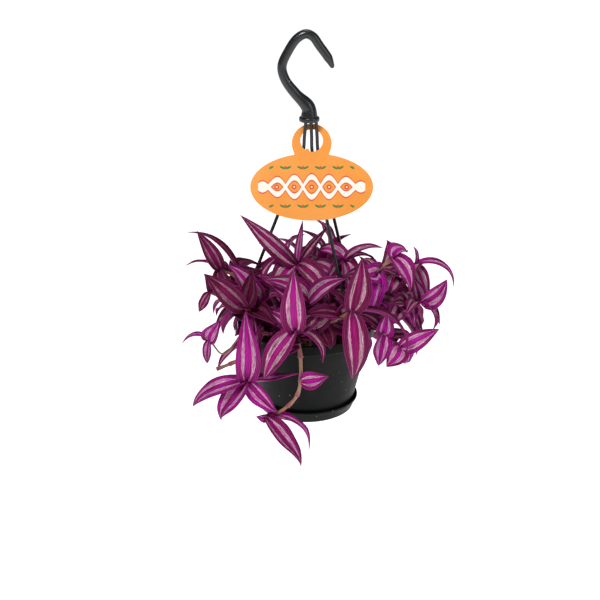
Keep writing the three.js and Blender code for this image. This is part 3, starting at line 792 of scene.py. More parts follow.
@dataclass(frozen=True)
class SoilFinish:
    """Damp peaty potting soil with paler grains."""

    name: str = "potting_soil"
    dark: Colour = linear(34, 25, 20)
    brown: Colour = linear(82, 60, 44)
    grain: Colour = linear(168, 152, 128)
    crumb_scale: float = 230.0
    crumb_edge: Pair = (0.35, 0.7)
    grain_scale: float = 260.0
    grains: float = 0.05
    roughness: Ramp = (0.3, 0.7, 0.75, 0.98)
    relief: Pair = (0.9, 0.0015)

    def material(self, dust: bpy.types.NodeTree) -> Material:
        """Builds the material."""
        material, sheet, shader = new_material(self.name)
        crumbs = sheet.noise(sheet.place_on_object(), self.crumb_scale, 6.0, 0.7)
        marks = use_group(sheet, dust, Scale=self.grain_scale, Amount=self.grains).outputs
        earth = sheet.mix(sheet.smooth(crumbs, *self.crumb_edge), self.dark, self.brown)
        colour = sheet.mix(marks["Specks"], earth, self.grain)
        roughness = sheet.smooth(crumbs, *self.roughness)
        sheet.dress(shader, colour, roughness, sheet.bump(crumbs, *self.relief))
        return material


@dataclass(frozen=True)
class CardFinish:
    """The tag's coated card: orange, printed with a plain wavy garland, dots and small leaves.

    One unit of its UV map, and so of its sizes, is 100 mm on the card.
    """

    name: str = "printed_card"
    orange: Colour = linear(228, 144, 64)
    pale: Colour = linear(236, 160, 84)
    cream: Colour = linear(236, 228, 216)
    coral: Colour = linear(208, 72, 52)
    green: Colour = linear(64, 128, 66)
    reach: float = 0.46
    count: float = 21.0
    swing: float = 0.085
    outline: Pair = (0.032, 0.037)
    ribbon: Pair = (0.021, 0.026)
    dot: float = 0.021
    eye: float = 0.008
    bud: float = 0.014
    bud_up: float = 0.165
    leaf: Pair = (0.01, 0.027)
    leaf_shift: float = 0.17
    leaf_tilt: float = 1.1
    row_reach: float = 0.36
    fleck_scale: float = 30.0
    grain_scale: float = 500.0
    relief: Pair = (0.08, 0.0002)
    roughness: Ramp = (0.3, 0.7, 0.3, 0.42)
    shine: float = 0.15

    def material(self) -> Material:
        """Builds the material."""
        material, sheet, shader = new_material(self.name)
        split = sheet.add("ShaderNodeSeparateXYZ")
        sheet.feed(split.inputs[0], sheet.add("ShaderNodeUVMap", uv_map="card").outputs["UV"])
        x, y = split.outputs["X"], split.outputs["Y"]
        where = sheet.place_on_object()
        fleck = sheet.noise(where, self.fleck_scale)
        colour = sheet.mix(sheet.smooth(fleck, 0.3, 0.8, 0.0, 0.5), self.orange, self.pale)

        def squared(value: Socket, size: float) -> Socket:
            """Gives the square of a value measured in a size."""
            return sheet.math("POWER", sheet.math("DIVIDE", sheet.magnitude(value), size), 2.0)

        waist = sheet.minus(1.0, squared(x, self.reach), clamp=True)
        swing = sheet.times(sheet.math("COSINE", sheet.times(x, self.count)), self.swing)
        line = sheet.times(swing, sheet.math("POWER", waist, 0.6))
        above, below = sheet.magnitude(sheet.minus(y, line)), sheet.magnitude(sheet.plus(y, line))
        near = sheet.math("MINIMUM", above, below)
        within = sheet.smooth(waist, 0.0, 0.02)
        pitch = math.pi / self.count

        def row(up: float, shift: float, size: Pair, tilt: float = 0.0) -> Socket:
            """Gives a mask for a row of tilted ovals, one in each loop of the garland."""
            cell = sheet.math("FRACT", sheet.scaled(x, 1 / pitch, shift))
            across = sheet.times(sheet.minus(cell, 0.5), pitch)
            rise = sheet.minus(y, up)
            cosine, sine = math.cos(tilt), math.sin(tilt)
            turned_x = sheet.scaled(rise, sine, sheet.times(across, cosine))
            turned_y = sheet.scaled(across, -sine, sheet.times(rise, cosine))
            far = sheet.plus(squared(turned_x, size[0]), squared(turned_y, size[1]))
            kept = sheet.smooth(sheet.magnitude(x), self.row_reach, self.row_reach + 0.005, 1.0, 0.0)
            return sheet.times(sheet.smooth(far, 0.8, 1.0, 1.0, 0.0), kept)

        prints = [
            (sheet.times(sheet.smooth(near, *self.outline, 1.0, 0.0), within), self.coral),
            (sheet.times(sheet.smooth(near, *self.ribbon, 1.0, 0.0), within), self.cream),
            (row(0.0, 0.5, (self.dot, self.dot)), self.coral),
            (row(0.0, 0.5, (self.eye, self.eye)), self.cream),
        ]
        for height in (-self.bud_up, self.bud_up):
            prints.append((row(height, 0.0, (self.bud, self.bud)), self.coral))
            for side in (-1, 1):
                leaves = row(height, self.leaf_shift * side, self.leaf, self.leaf_tilt * side)
                prints.append((leaves, self.green))
        for mask, ink in prints:
            colour = sheet.mix(mask, colour, ink)
        normal = sheet.bump(sheet.noise(where, self.grain_scale), *self.relief)
        sheet.dress(shader, colour, sheet.smooth(fleck, *self.roughness), normal, self.shine)
        return material


# ------------------------------------------------------------------------------ pot and soil
@dataclass
class HangingPot:
    """The pot, its saucer and the soil, in millimetres above the saucer's underside."""

    plastic: Material
    earth: Material
    saucer_base: float = 40.0
    saucer_rim: float = 47.0
    saucer_height: float = 12.0
    saucer_wall: float = 1.6
    saucer_floor: float = 1.5
    pot_base: float = 41.0
    bevel: float = 3.0
    wall_top: float = 58.6
    rim: float = 61.5
    height: float = 82.0
    lip_height: float = 10.0
    wall: float = 1.6
    lip_wall: float = 2.4
    gap: float = 0.3
    soil_edge: float = 68.0
    soil_crown: float = 71.0
    soil_rings: int = 26
    soil_steps: int = 112
    soil_settled: float = 0.9
    lump: Pair = (160.0, 1.3)
    crumb: Pair = (620.0, 1.1)
    ledge_up: float = 2.2
    ledge_out: float = 0.5
    ledge_bulge: float = 0.7
    steps: int = 128

    @property
    def floor(self) -> float:
        """The height of the pot's underside."""
        return self.saucer_floor + self.gap

    def wall_radius(self, height: float) -> float:
        """Gives the outer radius of the pot's wall at a height."""
        foot = self.height - self.lip_height
        spread = self.wall_top - self.pot_base
        return self.pot_base + spread * (height - self.floor) / (foot - self.floor)

    def build_pot(self) -> bpy.types.Object:
        """Spins the pot, with a rolled lip and a ledge where the saucer clips on."""
        foot = self.height - self.lip_height
        low = self.floor + self.bevel
        base = self.pot_base - self.bevel
        ledge = self.saucer_height + self.ledge_up
        ledge_radius = self.wall_radius(ledge)
        mouth = self.rim - self.lip_wall
        inside = self.floor + self.wall
        profile: list[Pair] = [
            (0, self.floor), (base, self.floor), (self.wall_radius(low), low), (ledge_radius, ledge),
            (ledge_radius + self.ledge_out, ledge + self.ledge_out),
            (ledge_radius + self.ledge_bulge, ledge + self.ledge_up),
            (self.wall_top, foot), (self.rim, foot + 1), (self.rim, self.height), (mouth, self.height),
            (mouth, foot + 2), (self.wall_top - self.wall, foot - 1),
            (self.wall_radius(low) - self.wall, inside + self.bevel / 2), (base - self.wall, inside),
            (0, inside),
        ]
        radii = [0, 1.2, 1.2, 0.4, 0.3, 0.6, 0.8, 0.8, 0.9, 0.8, 0.8, 0.8, 0.8, 0.8, 0]
        bm = spun(rounded(profile, radii), self.steps)
        return finish_piece(bm, "pot_shell", Slot.POT, [self.plastic], ["pot"], 50)

    def build_saucer(self) -> bpy.types.Object:
        """Spins the saucer, with a thin turned lip and a foot ring."""
        base, rim, top = self.saucer_base, self.saucer_rim, self.saucer_height
        seat = self.floor + self.bevel
        profile: list[Pair] = [
            (0, 0.4), (base - 3.2, 0.4), (base - 2.8, 0), (base, 0), (base + 2.6, 1.6),
            (rim - 1.3, top - 2.4), (rim - 0.1, top - 1.9), (rim, top), (rim - 0.8, top),
            (rim - self.saucer_wall, top - 0.6), (self.wall_radius(seat) + 0.45, seat),
            (self.pot_base - self.bevel + 1.6, self.saucer_floor), (0, self.saucer_floor),
        ]
        radii = [0, 0.2, 0.2, 0.5, 1.0, 0.5, 0.4, 0.35, 0.3, 0.5, 1.2, 0.8, 0]
        bm = spun(rounded(profile, radii), self.steps)
        return finish_piece(bm, "saucer_dish", Slot.POT, [self.plastic], ["saucer"], 50)

    def build_soil(self) -> bpy.types.Object:
        """Spins the soil and roughens its top into lumps and crumbs."""
        side = self.wall_radius(self.soil_edge) - self.wall - 2 * self.gap
        low = self.floor + self.wall + self.gap
        shoulder = low + self.bevel
        under = self.wall_radius(shoulder) - self.wall - 2 * self.gap
        profile: list[Pair] = [
            (0, low), (self.pot_base - 5, low), (under, shoulder), (side, self.soil_edge),
        ]
        for ring in range(1, self.soil_rings + 1):
            share = ring / self.soil_rings
            rise = (self.soil_crown - self.soil_edge) * math.sin(share * math.pi / 2)
            profile.append((side * (1 - share), self.soil_edge + rise))
        bm = spun(profile, self.soil_steps)
        top = place(0, 0, self.soil_edge - 0.5).z
        for vert in bm.verts:
            if vert.co.z < top:
                continue
            lump = noise.fractal(vert.co * self.lump[0], 1.0, 2.0, 3) * self.lump[1]
            crumb = abs(noise.noise(vert.co * self.crumb[0])) * self.crumb[1]
            vert.co.z += (lump + crumb - self.soil_settled) * MM
        return finish_piece(bm, "soil_bed", Slot.SOIL, [self.earth], ["soil"], 180)


# ------------------------------------------------------------------------------ hanger
@dataclass
class Hanger:
    """The hook with its flange, the three strands and their clips, in millimetres.

    Each strand has its label, how far along X it leaves the flange, where it starts to spread along
    X and Y, and the bearing of its clip in degrees.
    """

    plastic: Material
    pot: HangingPot
    hook_line: tuple[Pair, ...] = (
        (2.5, 267), (1.6, 276), (-9.3, 288), (-18, 300), (-20.5, 311), (-15, 324), (-7.6, 334.3),
        (-0.4, 337.9), (5.4, 335.6), (11, 328), (18.2, 318), (22.4, 309.5),
    )
    hook_radii: tuple[float, ...] = (7.2, 6.1, 4.6, 4.1, 4, 3.9, 3.9, 3.9, 3.9, 3.9, 3.8, 1.6)
    hook_steps: int = 120
    hook_sides: int = 24
    blunt_from: float = 0.985
    blunting: float = 0.9
    pip: Triple = (3.0, -6.1, 272.5)
    pip_size: Triple = (0.8, 0.5, 0.8)
    flange_radius: float = 8.8
    flange_bottom: float = 264.0
    flange_top: float = 268.0
    flange_slope: float = 1.6
    boss_radius: float = 6.2
    boss_height: float = 2.4
    flange_steps: int = 64
    strand_radius: float = 1.45
    strand_top: float = 263.7
    strand_straight: float = 238.0
    strand_foot: float = 84.5
    strand_parts: int = 4
    strand_steps: int = 60
    strand_sides: int = 14
    clip_width: float = 6.0
    clip_leg: float = 1.9
    clip_outer_drop: float = 13.0
    clip_inner_drop: float = 7.0
    clip_inner_gap: float = 0.9
    clip_bridge: float = 3.4
    clip_bevel: float = 0.45
    strands: tuple[tuple[str, float, Pair, float], ...] = (
        ("left", -0.4, (-2.8, 0), 180), ("front", 4, (5, 0), 310), ("rear", 8.4, (10, 1), 44),
    )

    def build_hook(self) -> bpy.types.Object:
        """Draws the hook along its line and seats it on its turned flange."""
        bm = bmesh.new()
        points = [(x, 0.0, z) for x, z in self.hook_line]

        def centre_at(share: float) -> Vector:
            """Gives the middle of the hook's bar."""
            return place(*smooth_route(points, share))

        def radius_at(share: float) -> float:
            """Gives the hook's radius, with a blunt rounded tip."""
            spot = share * (len(self.hook_radii) - 1)
            low = min(int(spot), len(self.hook_radii) - 2)
            ease = spot - low
            if low < len(self.hook_radii) - 2:
                ease = ease * ease * (3 - 2 * ease)
            radius = self.hook_radii[low] * (1 - ease) + self.hook_radii[low + 1] * ease
            end = max(0.0, share - self.blunt_from) / (1 - self.blunt_from)
            return radius * math.sqrt(1 - end * end * self.blunting) * MM

        tube(bm, centre_at, radius_at, self.hook_steps, self.hook_sides)
        radius, top = self.flange_radius, self.flange_top
        boss = top + self.boss_height
        flange: list[Pair] = [
            (0, self.flange_bottom), (radius, self.flange_bottom), (radius, top),
            (radius - self.flange_slope, top + 0.1), (self.boss_radius, boss), (0, boss),
        ]
        axis = (self.hook_line[0][0], 0.0)
        collar = spun(rounded(flange, [0, 1.6, 1.6, 0.8, 1.0, 0], 5), self.flange_steps, axis)
        size = Vector(self.pip_size) * MM
        pip = Matrix.Translation(place(*self.pip)) @ Matrix.Diagonal((*size, 1.0))
        bmesh.ops.create_icosphere(bm, subdivisions=2, radius=1.0, matrix=pip)
        spare = bpy.data.meshes.new("collar")
        collar.to_mesh(spare)
        collar.free()
        bm.from_mesh(spare)
        bpy.data.meshes.remove(spare)
        bmesh.ops.recalc_face_normals(bm, faces=bm.faces)
        return finish_piece(bm, "hook_bar", Slot.HANGER, [self.plastic], ["hanger_hook"], 60)

    def build_strand(self, label: str, start: float, bend: Pair, bearing: float) -> bpy.types.Object:
        """Draws one strand from the flange to its clip over the pot's lip.

        Args:
            label: Which strand it is.
            start: How far along X it leaves the flange.
            bend: Where it starts to spread, along X and Y.
            bearing: The direction of its clip, in degrees.

        Returns:
            The strand.
        """
        turn = math.radians(bearing)
        radius = self.pot.rim + self.pot.gap
        foot = (radius * math.cos(turn), radius * math.sin(turn))
        points: list[Triple] = [
            (start, 0.0, self.strand_top),
            ((start + bend[0]) / 2, bend[1] / 2, (self.strand_top + self.strand_straight) / 2),
        ]
        for step in range(self.strand_parts + 1):
            share = step / self.strand_parts
            points.append((
                bend[0] + (foot[0] - bend[0]) * share,
                bend[1] + (foot[1] - bend[1]) * share,
                self.strand_straight + (self.strand_foot - self.strand_straight) * share,
            ))
        bm = bmesh.new()

        def centre_at(share: float) -> Vector:
            """Gives the middle of the strand."""
            return place(*smooth_route(points, share))

        tube(bm, centre_at, lambda _: self.strand_radius * MM, self.strand_steps, self.strand_sides)
        self.add_clip(bm, turn)
        bmesh.ops.recalc_face_normals(bm, faces=bm.faces)
        nodes = [f"hanger_strand_{label}"]
        return finish_piece(bm, f"strand_{label}", Slot.HANGER, [self.plastic], nodes, 45)

    def add_clip(self, bm: bmesh.types.BMesh, turn: float) -> None:
        """Extrudes and bevels the channel that sits over the pot's lip.

        Args:
            bm: The strand's mesh, which the clip is added to.
            turn: The clip's direction, in radians.
        """
        pot = self.pot
        outer = pot.rim + pot.gap
        inner = pot.rim - pot.lip_wall - self.clip_inner_gap
        roof = pot.height + pot.gap
        section: list[Pair] = [
            (outer, roof), (outer, roof - self.clip_outer_drop),
            (outer + self.clip_leg, roof - self.clip_outer_drop),
            (outer + self.clip_leg, roof + self.clip_bridge),
            (inner - self.clip_leg, roof + self.clip_bridge),
            (inner - self.clip_leg, roof - self.clip_inner_drop),
            (inner, roof - self.clip_inner_drop), (inner, roof),
        ]
        aim = Matrix.Rotation(turn, 4, "Z")
        half = self.clip_width / 2
        verts = [bm.verts.new(aim @ place(radius, -half, height)) for radius, height in section]
        face = bm.faces.new(verts)
        grown = bmesh.ops.extrude_face_region(bm, geom=[face])["geom"]
        moved = new_verts(grown)
        bmesh.ops.translate(bm, vec=aim @ Vector((0, self.clip_width * MM, 0)), verts=moved)
        edges = list({edge for vert in verts + moved for edge in vert.link_edges})
        bmesh.ops.bevel(
            bm, geom=edges, offset=self.clip_bevel * MM, offset_type="OFFSET", segments=2,
            profile=0.5, affect="EDGES", material=-1,
        )


# ------------------------------------------------------------------------------ card tag
@dataclass
class CardTag:
    """The oval tag with its ring, in millimetres on the card and above the saucer."""

    centre: Triple = (4.6, -15.2, 210.5)
    lean: float = 21.8
    width: float = 105.0
    height: float = 57.5
    thickness: float = 0.8
    ring_radius: float = 17.0
    ring_up: float = 37.2
    hole_radius: float = 9.7
    hole_up: float = 39.8
    nub_radius: float = 2.0
    nub_across: float = -3.7
    nub_up: float = 31.0
    oval_steps: int = 240
    arc_steps: int = 60
    hole_steps: int = 72
    print_unit: float = 0.1

    def outline(self) -> list[Pair]:
        """Gives the card's outer edge: the oval's arc, then the ring's."""
        half_width, half_height = self.width / 2, self.height / 2

        def on_oval(angle: float) -> Pair:
            """Gives a point on the oval's edge."""
            return half_width * math.cos(angle), half_height * math.sin(angle)

        def in_ring(point: Pair) -> bool:
            """Tells whether a point lies inside the ring's disc."""
            return math.hypot(point[0], point[1] - self.ring_up) < self.ring_radius

        step_angle = 2 * math.pi / self.oval_steps
        oval = [on_oval(math.pi / 2 + step_angle * step) for step in range(self.oval_steps)]
        kept = [point for point in oval if not in_ring(point)]
        first, last = Vector(kept[0]), Vector(kept[-1])
        arc = []
        start = math.atan2(last.y - self.ring_up, last.x)
        end = math.atan2(first.y - self.ring_up, first.x)
        if end < start:
            end += 2 * math.pi
        for step in range(1, self.arc_steps):
            angle = start + (end - start) * step / self.arc_steps
            x, y = self.ring_radius * math.cos(angle), self.ring_radius * math.sin(angle)
            arc.append((x, self.ring_up + y))
        return kept + arc

    def hole(self) -> list[Pair]:
        """Gives the edge of the hole, with the nub that stands into it."""
        points = []
        for step in range(self.hole_steps):
            angle = 2 * math.pi * step / self.hole_steps
            x = self.hole_radius * math.cos(angle)
            y = self.hole_up + self.hole_radius * math.sin(angle)
            away = Vector((x - self.nub_across, y - self.nub_up))
            if away.length < self.nub_radius:
                reach = math.sqrt(max(self.nub_radius ** 2 - away.x ** 2, 0))
                y = max(y, self.nub_up + reach)
            points.append((x, y))
        return points

    def build(self, card: Material) -> bpy.types.Object:
        """Fills the outline round its hole, thickens it and leans it on the strands."""
        bm = bmesh.new()
        loops = []
        for points in (self.outline(), self.hole()):
            verts = [bm.verts.new((x * MM, y * MM, 0)) for x, y in points]
            loops += [bm.edges.new((verts[i - 1], verts[i])) for i in range(len(verts))]
        bmesh.ops.triangle_fill(bm, use_beauty=True, edges=loops, normal=(0, 0, 1))
        layer = bm.loops.layers.uv.new("card")
        grown = bmesh.ops.extrude_face_region(bm, geom=bm.faces[:])["geom"]
        moved = new_verts(grown)
        bmesh.ops.translate(bm, vec=(0, 0, self.thickness * MM), verts=moved)
        bmesh.ops.translate(bm, vec=(0, 0, -self.thickness * MM / 2), verts=bm.verts)
        bmesh.ops.recalc_face_normals(bm, faces=bm.faces)
        for face in bm.faces:
            for loop in face.loops:
                loop[layer].uv = (loop.vert.co.x / self.print_unit, loop.vert.co.y / self.print_unit)
        lean = Matrix.Rotation(math.pi / 2 - math.radians(self.lean), 4, "X")
        bmesh.ops.transform(bm, matrix=Matrix.Translation(place(*self.centre)) @ lean, verts=bm.verts)
        return finish_piece(bm, "tag_plate", Slot.TAG, [card], ["card_tag"], 30)


# ------------------------------------------------------------------------------ plant plans
SKY: Triple = (0, 0, 1)
FRONT: Triple = (0, -1, 0.35)
FRONT_LEFT: Triple = (-0.6, -1, 0.4)
FRONT_RIGHT: Triple = (0.6, -1, 0.4)
RIGHT: Triple = (1, -0.2, 0.3)


@dataclass(frozen=True)
class LeafPlan:
    """A leaf: the joint that it grows from, where its tip lies from there, and its form."""

    joint: int
    reach: Triple
    width: float
    bow: float
    face: Triple
    fold: float = 24.0


@dataclass(frozen=True)
class StemPlan:
    """A leafy stem: its route out of the soil and the leaves at its joints."""

    name: str
    route: tuple[Triple, ...]
    leaves: tuple[LeafPlan, ...]
    thin: bool = False
    stub: tuple[Triple, ...] = ()
    # The tone darkens or brightens the stem's leaves: partly their own colour, partly painted shade and
    # light, low where the stem lies in shade and high where it lies in the light.
    tone: float = 0.5


SHOWN_STEMS = (
    StemPlan(
        "stem_front_trail",
        ((-8, -40, 60), (-8, -41, 76), (-8, -58, 93), (-7, -71, 93), (-5, -75, 78), (-5, -76, 56),
         (-8, -74, 42), (-16, -72, 31), (-28, -70, 22), (-36, -70, 20)),
        (LeafPlan(9, (35, -13, -41), 19, 0.1, FRONT_RIGHT, 34),
         LeafPlan(9, (42, 4, -34), 12, 0.22, SKY, 34),
         LeafPlan(5, (23, -10, 9), 18, -0.06, FRONT_RIGHT),
         LeafPlan(9, (-7, -6, 3), 8, 0.2, FRONT_LEFT)),
        tone=0.68,
    ),
    StemPlan(
        "stem_front_middle",
        ((4, -36, 60), (4, -37, 76), (3, -52, 96), (-2, -66, 103), (-9, -80, 104)),
        (LeafPlan(4, (-1, -4, 57), 24, 0.1, FRONT),
         LeafPlan(4, (-27, -9, -42), 22, 0.14, FRONT_LEFT),
         LeafPlan(4, (24, -6, -27), 12, 0.18, SKY, 34),
         LeafPlan(3, (31, 8, 12), 20, 0.14, FRONT_RIGHT),
         LeafPlan(3, (-28, 0, 20), 18, 0.12, FRONT_LEFT)),
        tone=0.42,
    ),
    StemPlan(
        "stem_front_right",
        ((20, -30, 60), (19, -31, 76), (12, -52, 98), (14, -66, 105), (25, -74, 112), (38, -80, 122)),
        (LeafPlan(5, (8, 6, 45), 24, 0.1, FRONT),
         LeafPlan(5, (2, -4, -64), 25, 0.1, FRONT),
         LeafPlan(5, (52, 0, -37), 13, 0.2, SKY, 30),
         LeafPlan(4, (22, 12, 20), 18, 0.1, FRONT_RIGHT),
         LeafPlan(3, (8, -10, -20), 18, 0.12, FRONT)),
        tone=0.2,
    ),
    StemPlan(
        "stem_left_low",
        ((-28, -34, 60), (-29, -35, 76), (-37, -56, 92), (-42, -70, 80), (-51, -75, 56)),
        (LeafPlan(4, (-1, -8, 67), 24, 0.1, FRONT),
         LeafPlan(4, (13, 1, 60), 16, 0.08, FRONT_RIGHT),
         LeafPlan(4, (-47, 2, -25), 17, 0.26, (-0.25, -0.7, 0.7)),
         LeafPlan(4, (-26, -10, -32), 24, 0.12, FRONT_LEFT),
         LeafPlan(4, (43, -10, 13), 14, -0.08, SKY, 30),
         LeafPlan(4, (33, -3, -20), 17, 0.08, FRONT),
         LeafPlan(3, (-25, 2, 14), 18, 0.14, FRONT_LEFT)),
        stub=((-40, -64, 86), (-55, -63, 72), (-66, -62, 66), (-77, -61, 61)),
        tone=0.8,
    ),
    StemPlan(
        "stem_left_sprig",
        ((-40, -26, 60), (-41, -27, 76), (-52, -42, 92), (-59, -54, 86), (-72, -56, 73),
         (-83, -56, 86)),
        (LeafPlan(5, (10, -6, 20), 16, 0.16, FRONT),
         LeafPlan(5, (-24, 3, -4), 7, 0.24, SKY, 30),
         LeafPlan(5, (-2, -3, -22), 9, 0.08, FRONT_LEFT)),
        thin=True,
        tone=0.8,
    ),
    StemPlan(
        "stem_left_middle",
        ((-20, -24, 60), (-21, -25, 76), (-36, -46, 102), (-52, -62, 118)),
        (LeafPlan(3, (-33, -4, 33), 21, 0.1, FRONT_LEFT),
         LeafPlan(3, (-16, -3, -5), 9, 0.12, SKY),
         LeafPlan(3, (6, -2, 32), 17, 0.1, FRONT),
         LeafPlan(2, (24, -10, 16), 18, 0.12, FRONT_RIGHT),
         LeafPlan(2, (12, -14, -20), 17, 0.14, FRONT),
         LeafPlan(2, (-26, -16, 10), 19, 0.14, FRONT_LEFT)),
        tone=0.08,
    ),
    StemPlan(
        "stem_left_high",
        ((-32, -10, 60), (-33, -11, 76), (-44, -24, 112), (-58, -32, 134), (-74, -36, 143)),
        (LeafPlan(4, (-19, 2, 34), 15, 0.14, FRONT),
         LeafPlan(4, (-29, -2, 6), 7, 0.14, SKY, 34),
         LeafPlan(3, (-43, 10, 42), 10, 0.16, SKY, 34),
         LeafPlan(4, (8, -6, -22), 17, 0.12, FRONT_LEFT),
         LeafPlan(2, (-24, 8, 34), 18, 0.12, FRONT),
         LeafPlan(3, (20, -10, 10), 19, 0.14, FRONT)),
        tone=0.03,
    ),
    StemPlan(
        "stem_left_drop",
        ((-46, -14, 60), (-47, -15, 76), (-56, -36, 108), (-68, -48, 119), (-82, -50, 127)),
        (LeafPlan(4, (-10, -3, -17), 10, 0.1, FRONT_LEFT),
         LeafPlan(4, (-4, 0, 17), 5, 0.1, FRONT)),
        thin=True,
        tone=0.3,
    ),
    StemPlan(
        "stem_crown_left",
        ((-8, -12, 60), (-8, -13, 76), (-9, -17, 112), (-8, -20, 142)),
        (LeafPlan(3, (-48, -6, 47), 18, 0.1, FRONT_LEFT),
         LeafPlan(3, (5, 10, 37), 8, 0.08, FRONT, 36),
         LeafPlan(3, (24, -5, 34), 11, -0.2, FRONT_RIGHT, 34),
         LeafPlan(3, (-20, -18, -24), 21, 0.14, FRONT_LEFT),
         LeafPlan(3, (30, -26, -28), 21, 0.16, FRONT_RIGHT),
         LeafPlan(2, (-36, -10, 24), 19, 0.12, FRONT),
         LeafPlan(2, (22, -28, 4), 19, 0.14, FRONT),
         LeafPlan(2, (-14, -32, -6), 20, 0.14, FRONT)),
        tone=0.5,
    ),
    StemPlan(
        "stem_crown_right",
        ((18, -8, 60), (18, -8, 76), (24, -10, 112), (34, -12, 141)),
        (LeafPlan(3, (33, 4, 13), 12, 0.12, SKY, 34),
         LeafPlan(3, (30, 18, -4), 9, 0.16, SKY, 34),
         LeafPlan(3, (-24, 10, 8), 20, 0.2, SKY),
         LeafPlan(3, (-22, -22, -6), 19, 0.14, FRONT),
         LeafPlan(2, (24, -26, 12), 19, 0.12, FRONT),
         LeafPlan(2, (-10, -30, 14), 19, 0.14, FRONT),
         LeafPlan(3, (10, -30, -24), 19, 0.14, FRONT_RIGHT)),
        tone=0.5,
    ),
    StemPlan(
        "stem_right_high",
        ((30, -20, 60), (31, -20, 76), (45, -30, 112), (60, -34, 140), (74, -34, 152)),
        (LeafPlan(4, (16, -24, -22), 22, 0.2, FRONT_RIGHT),
         LeafPlan(4, (14, 18, 0), 18, 0.2, SKY),
         LeafPlan(3, (-18, -18, 6), 21, 0.18, FRONT),
         LeafPlan(3, (-6, -26, -34), 21, 0.12, FRONT_RIGHT),
         LeafPlan(2, (22, -24, 6), 19, 0.14, FRONT_RIGHT),
         LeafPlan(2, (-16, 10, 22), 18, 0.12, FRONT),
         LeafPlan(2, (6, -26, -12), 18, 0.14, FRONT)),
        tone=0.8,
    ),
    StemPlan(
        "stem_right_far",
        ((42, -2, 60), (43, -2, 76), (60, -8, 104), (78, -10, 126), (94, -12, 138)),
        (LeafPlan(4, (1, 4, 17), 8, 0.1, RIGHT),
         LeafPlan(4, (39, 2, -19), 11, 0.24, SKY, 30),
         LeafPlan(4, (12, -18, -26), 15, 0.16, FRONT_RIGHT),
         LeafPlan(3, (-8, -20, -12), 19, 0.14, FRONT),
         LeafPlan(3, (8, 24, 12), 19, 0.14, SKY),
         LeafPlan(2, (26, -14, -4), 19, 0.16, FRONT_RIGHT)),
        tone=0.7,
    ),
    StemPlan(
        "stem_right_middle",
        ((38, -22, 60), (39, -23, 76), (58, -32, 98), (80, -36, 109), (99, -36, 113)),
        (LeafPlan(4, (22, 0, 21), 19, 0.12, FRONT_RIGHT),
         LeafPlan(4, (12, -6, -23), 16, 0.22, RIGHT),
         LeafPlan(4, (-3, 8, 20), 13, 0.12, FRONT),
         LeafPlan(3, (-22, -18, -9), 18, 0.12, FRONT),
         LeafPlan(3, (8, -14, -20), 18, 0.16, FRONT_RIGHT)),
        tone=0.75,
    ),
    StemPlan(
        "stem_right_low",
        ((30, -35, 60), (31, -36, 76), (51, -45, 97), (66, -60, 94), (80, -62, 82)),
        (LeafPlan(4, (33, -2, 18), 19, 0.18, FRONT_RIGHT),
         LeafPlan(4, (-12, -10, -14), 20, 0.2, FRONT),
         LeafPlan(4, (16, -8, -16), 17, 0.16, FRONT_RIGHT),
         LeafPlan(3, (2, -10, 24), 17, 0.12, FRONT),
         LeafPlan(3, (-4, -8, -28), 19, 0.12, FRONT_RIGHT)),
        tone=0.85,
    ),
)


@dataclass(frozen=True)
class FillingPlan:
    """What sets one stem of the sides and back: bearing, root, span, rise and end."""

    name: str
    bearing: float
    root: float
    span: float
    rise: float
    end: float
    pairs: bool = False


FILLING_STEMS = (
    FillingPlan("stem_back_right", 22, 34, 92, 110, 92),
    FillingPlan("stem_back_right_trail", 57, 44, 84, 100, 44),
    FillingPlan("stem_back_right_high", 74, 30, 74, 110, 114),
    FillingPlan("stem_back_middle", 91, 42, 92, 104, 74),
    FillingPlan("stem_back_middle_high", 104, 22, 56, 106, 112),
    FillingPlan("stem_back_left_trail", 122, 45, 84, 98, 36),
    FillingPlan("stem_back_left", 146, 34, 62, 104, 88),
    FillingPlan("stem_back_left_high", 160, 22, 46, 104, 106),
    FillingPlan("stem_left_back", 168, 42, 54, 98, 90),
    FillingPlan("stem_crown_front", 268, 24, 50, 102, 116, pairs=True),
    FillingPlan("stem_crown_front_left", 222, 22, 60, 104, 112, pairs=True),
    FillingPlan("stem_crown_back", 75, 8, 40, 104, 112, pairs=True),
    FillingPlan("stem_right_back", 2, 26, 80, 110, 86),
)

# The bends that a planned leaf may have: its swing and dip in degrees and the share of it that is kept.
BENDS: tuple[Triple, ...] = (
    (0, 0, 1), (8, 0, 1), (-8, 0, 1), (0, 8, 1), (0, -8, 1), (8, 8, 1), (-8, 8, 1), (8, -8, 1),
    (-8, -8, 1), (16, 0, 1), (-16, 0, 1), (0, 16, 1), (0, -16, 1), (16, 16, 1), (-16, 16, 1),
    (16, -16, 1), (-16, -16, 1), (26, 0, 1), (-26, 0, 1), (0, 26, 1), (0, -26, 1), (0, 0, 0.8),
    (14, 10, 0.8), (-14, 10, 0.8), (14, -10, 0.8), (-14, -10, 0.8), (30, 16, 0.8), (-30, 16, 0.8),
    (30, -16, 0.8), (-30, -16, 0.8), (44, 0, 0.8), (-44, 0, 0.8), (0, 40, 0.8), (0, -40, 0.8),
    (0, 0, 0.6), (24, 0, 0.6), (-24, 0, 0.6), (0, 24, 0.6), (0, -24, 0.6), (60, 20, 0.7),
    (-60, 20, 0.7), (60, -20, 0.7), (-60, -20, 0.7), (0, 60, 0.7), (0, -60, 0.7), (90, 0, 0.7),
    (-90, 0, 0.7), (120, 20, 0.7), (-120, 20, 0.7),
)


class Draws:
    """Draws that repeat exactly: a linear congruential series."""

    def __init__(self, seed: int) -> None:
        """Starts the series."""
        self.state = seed

    def between(self, low: float, high: float) -> float:
        """Gives the next draw between two values."""
        self.state = (self.state * 1664525 + 1013904223) % 2 ** 32
        return low + (high - low) * self.state / 2 ** 32


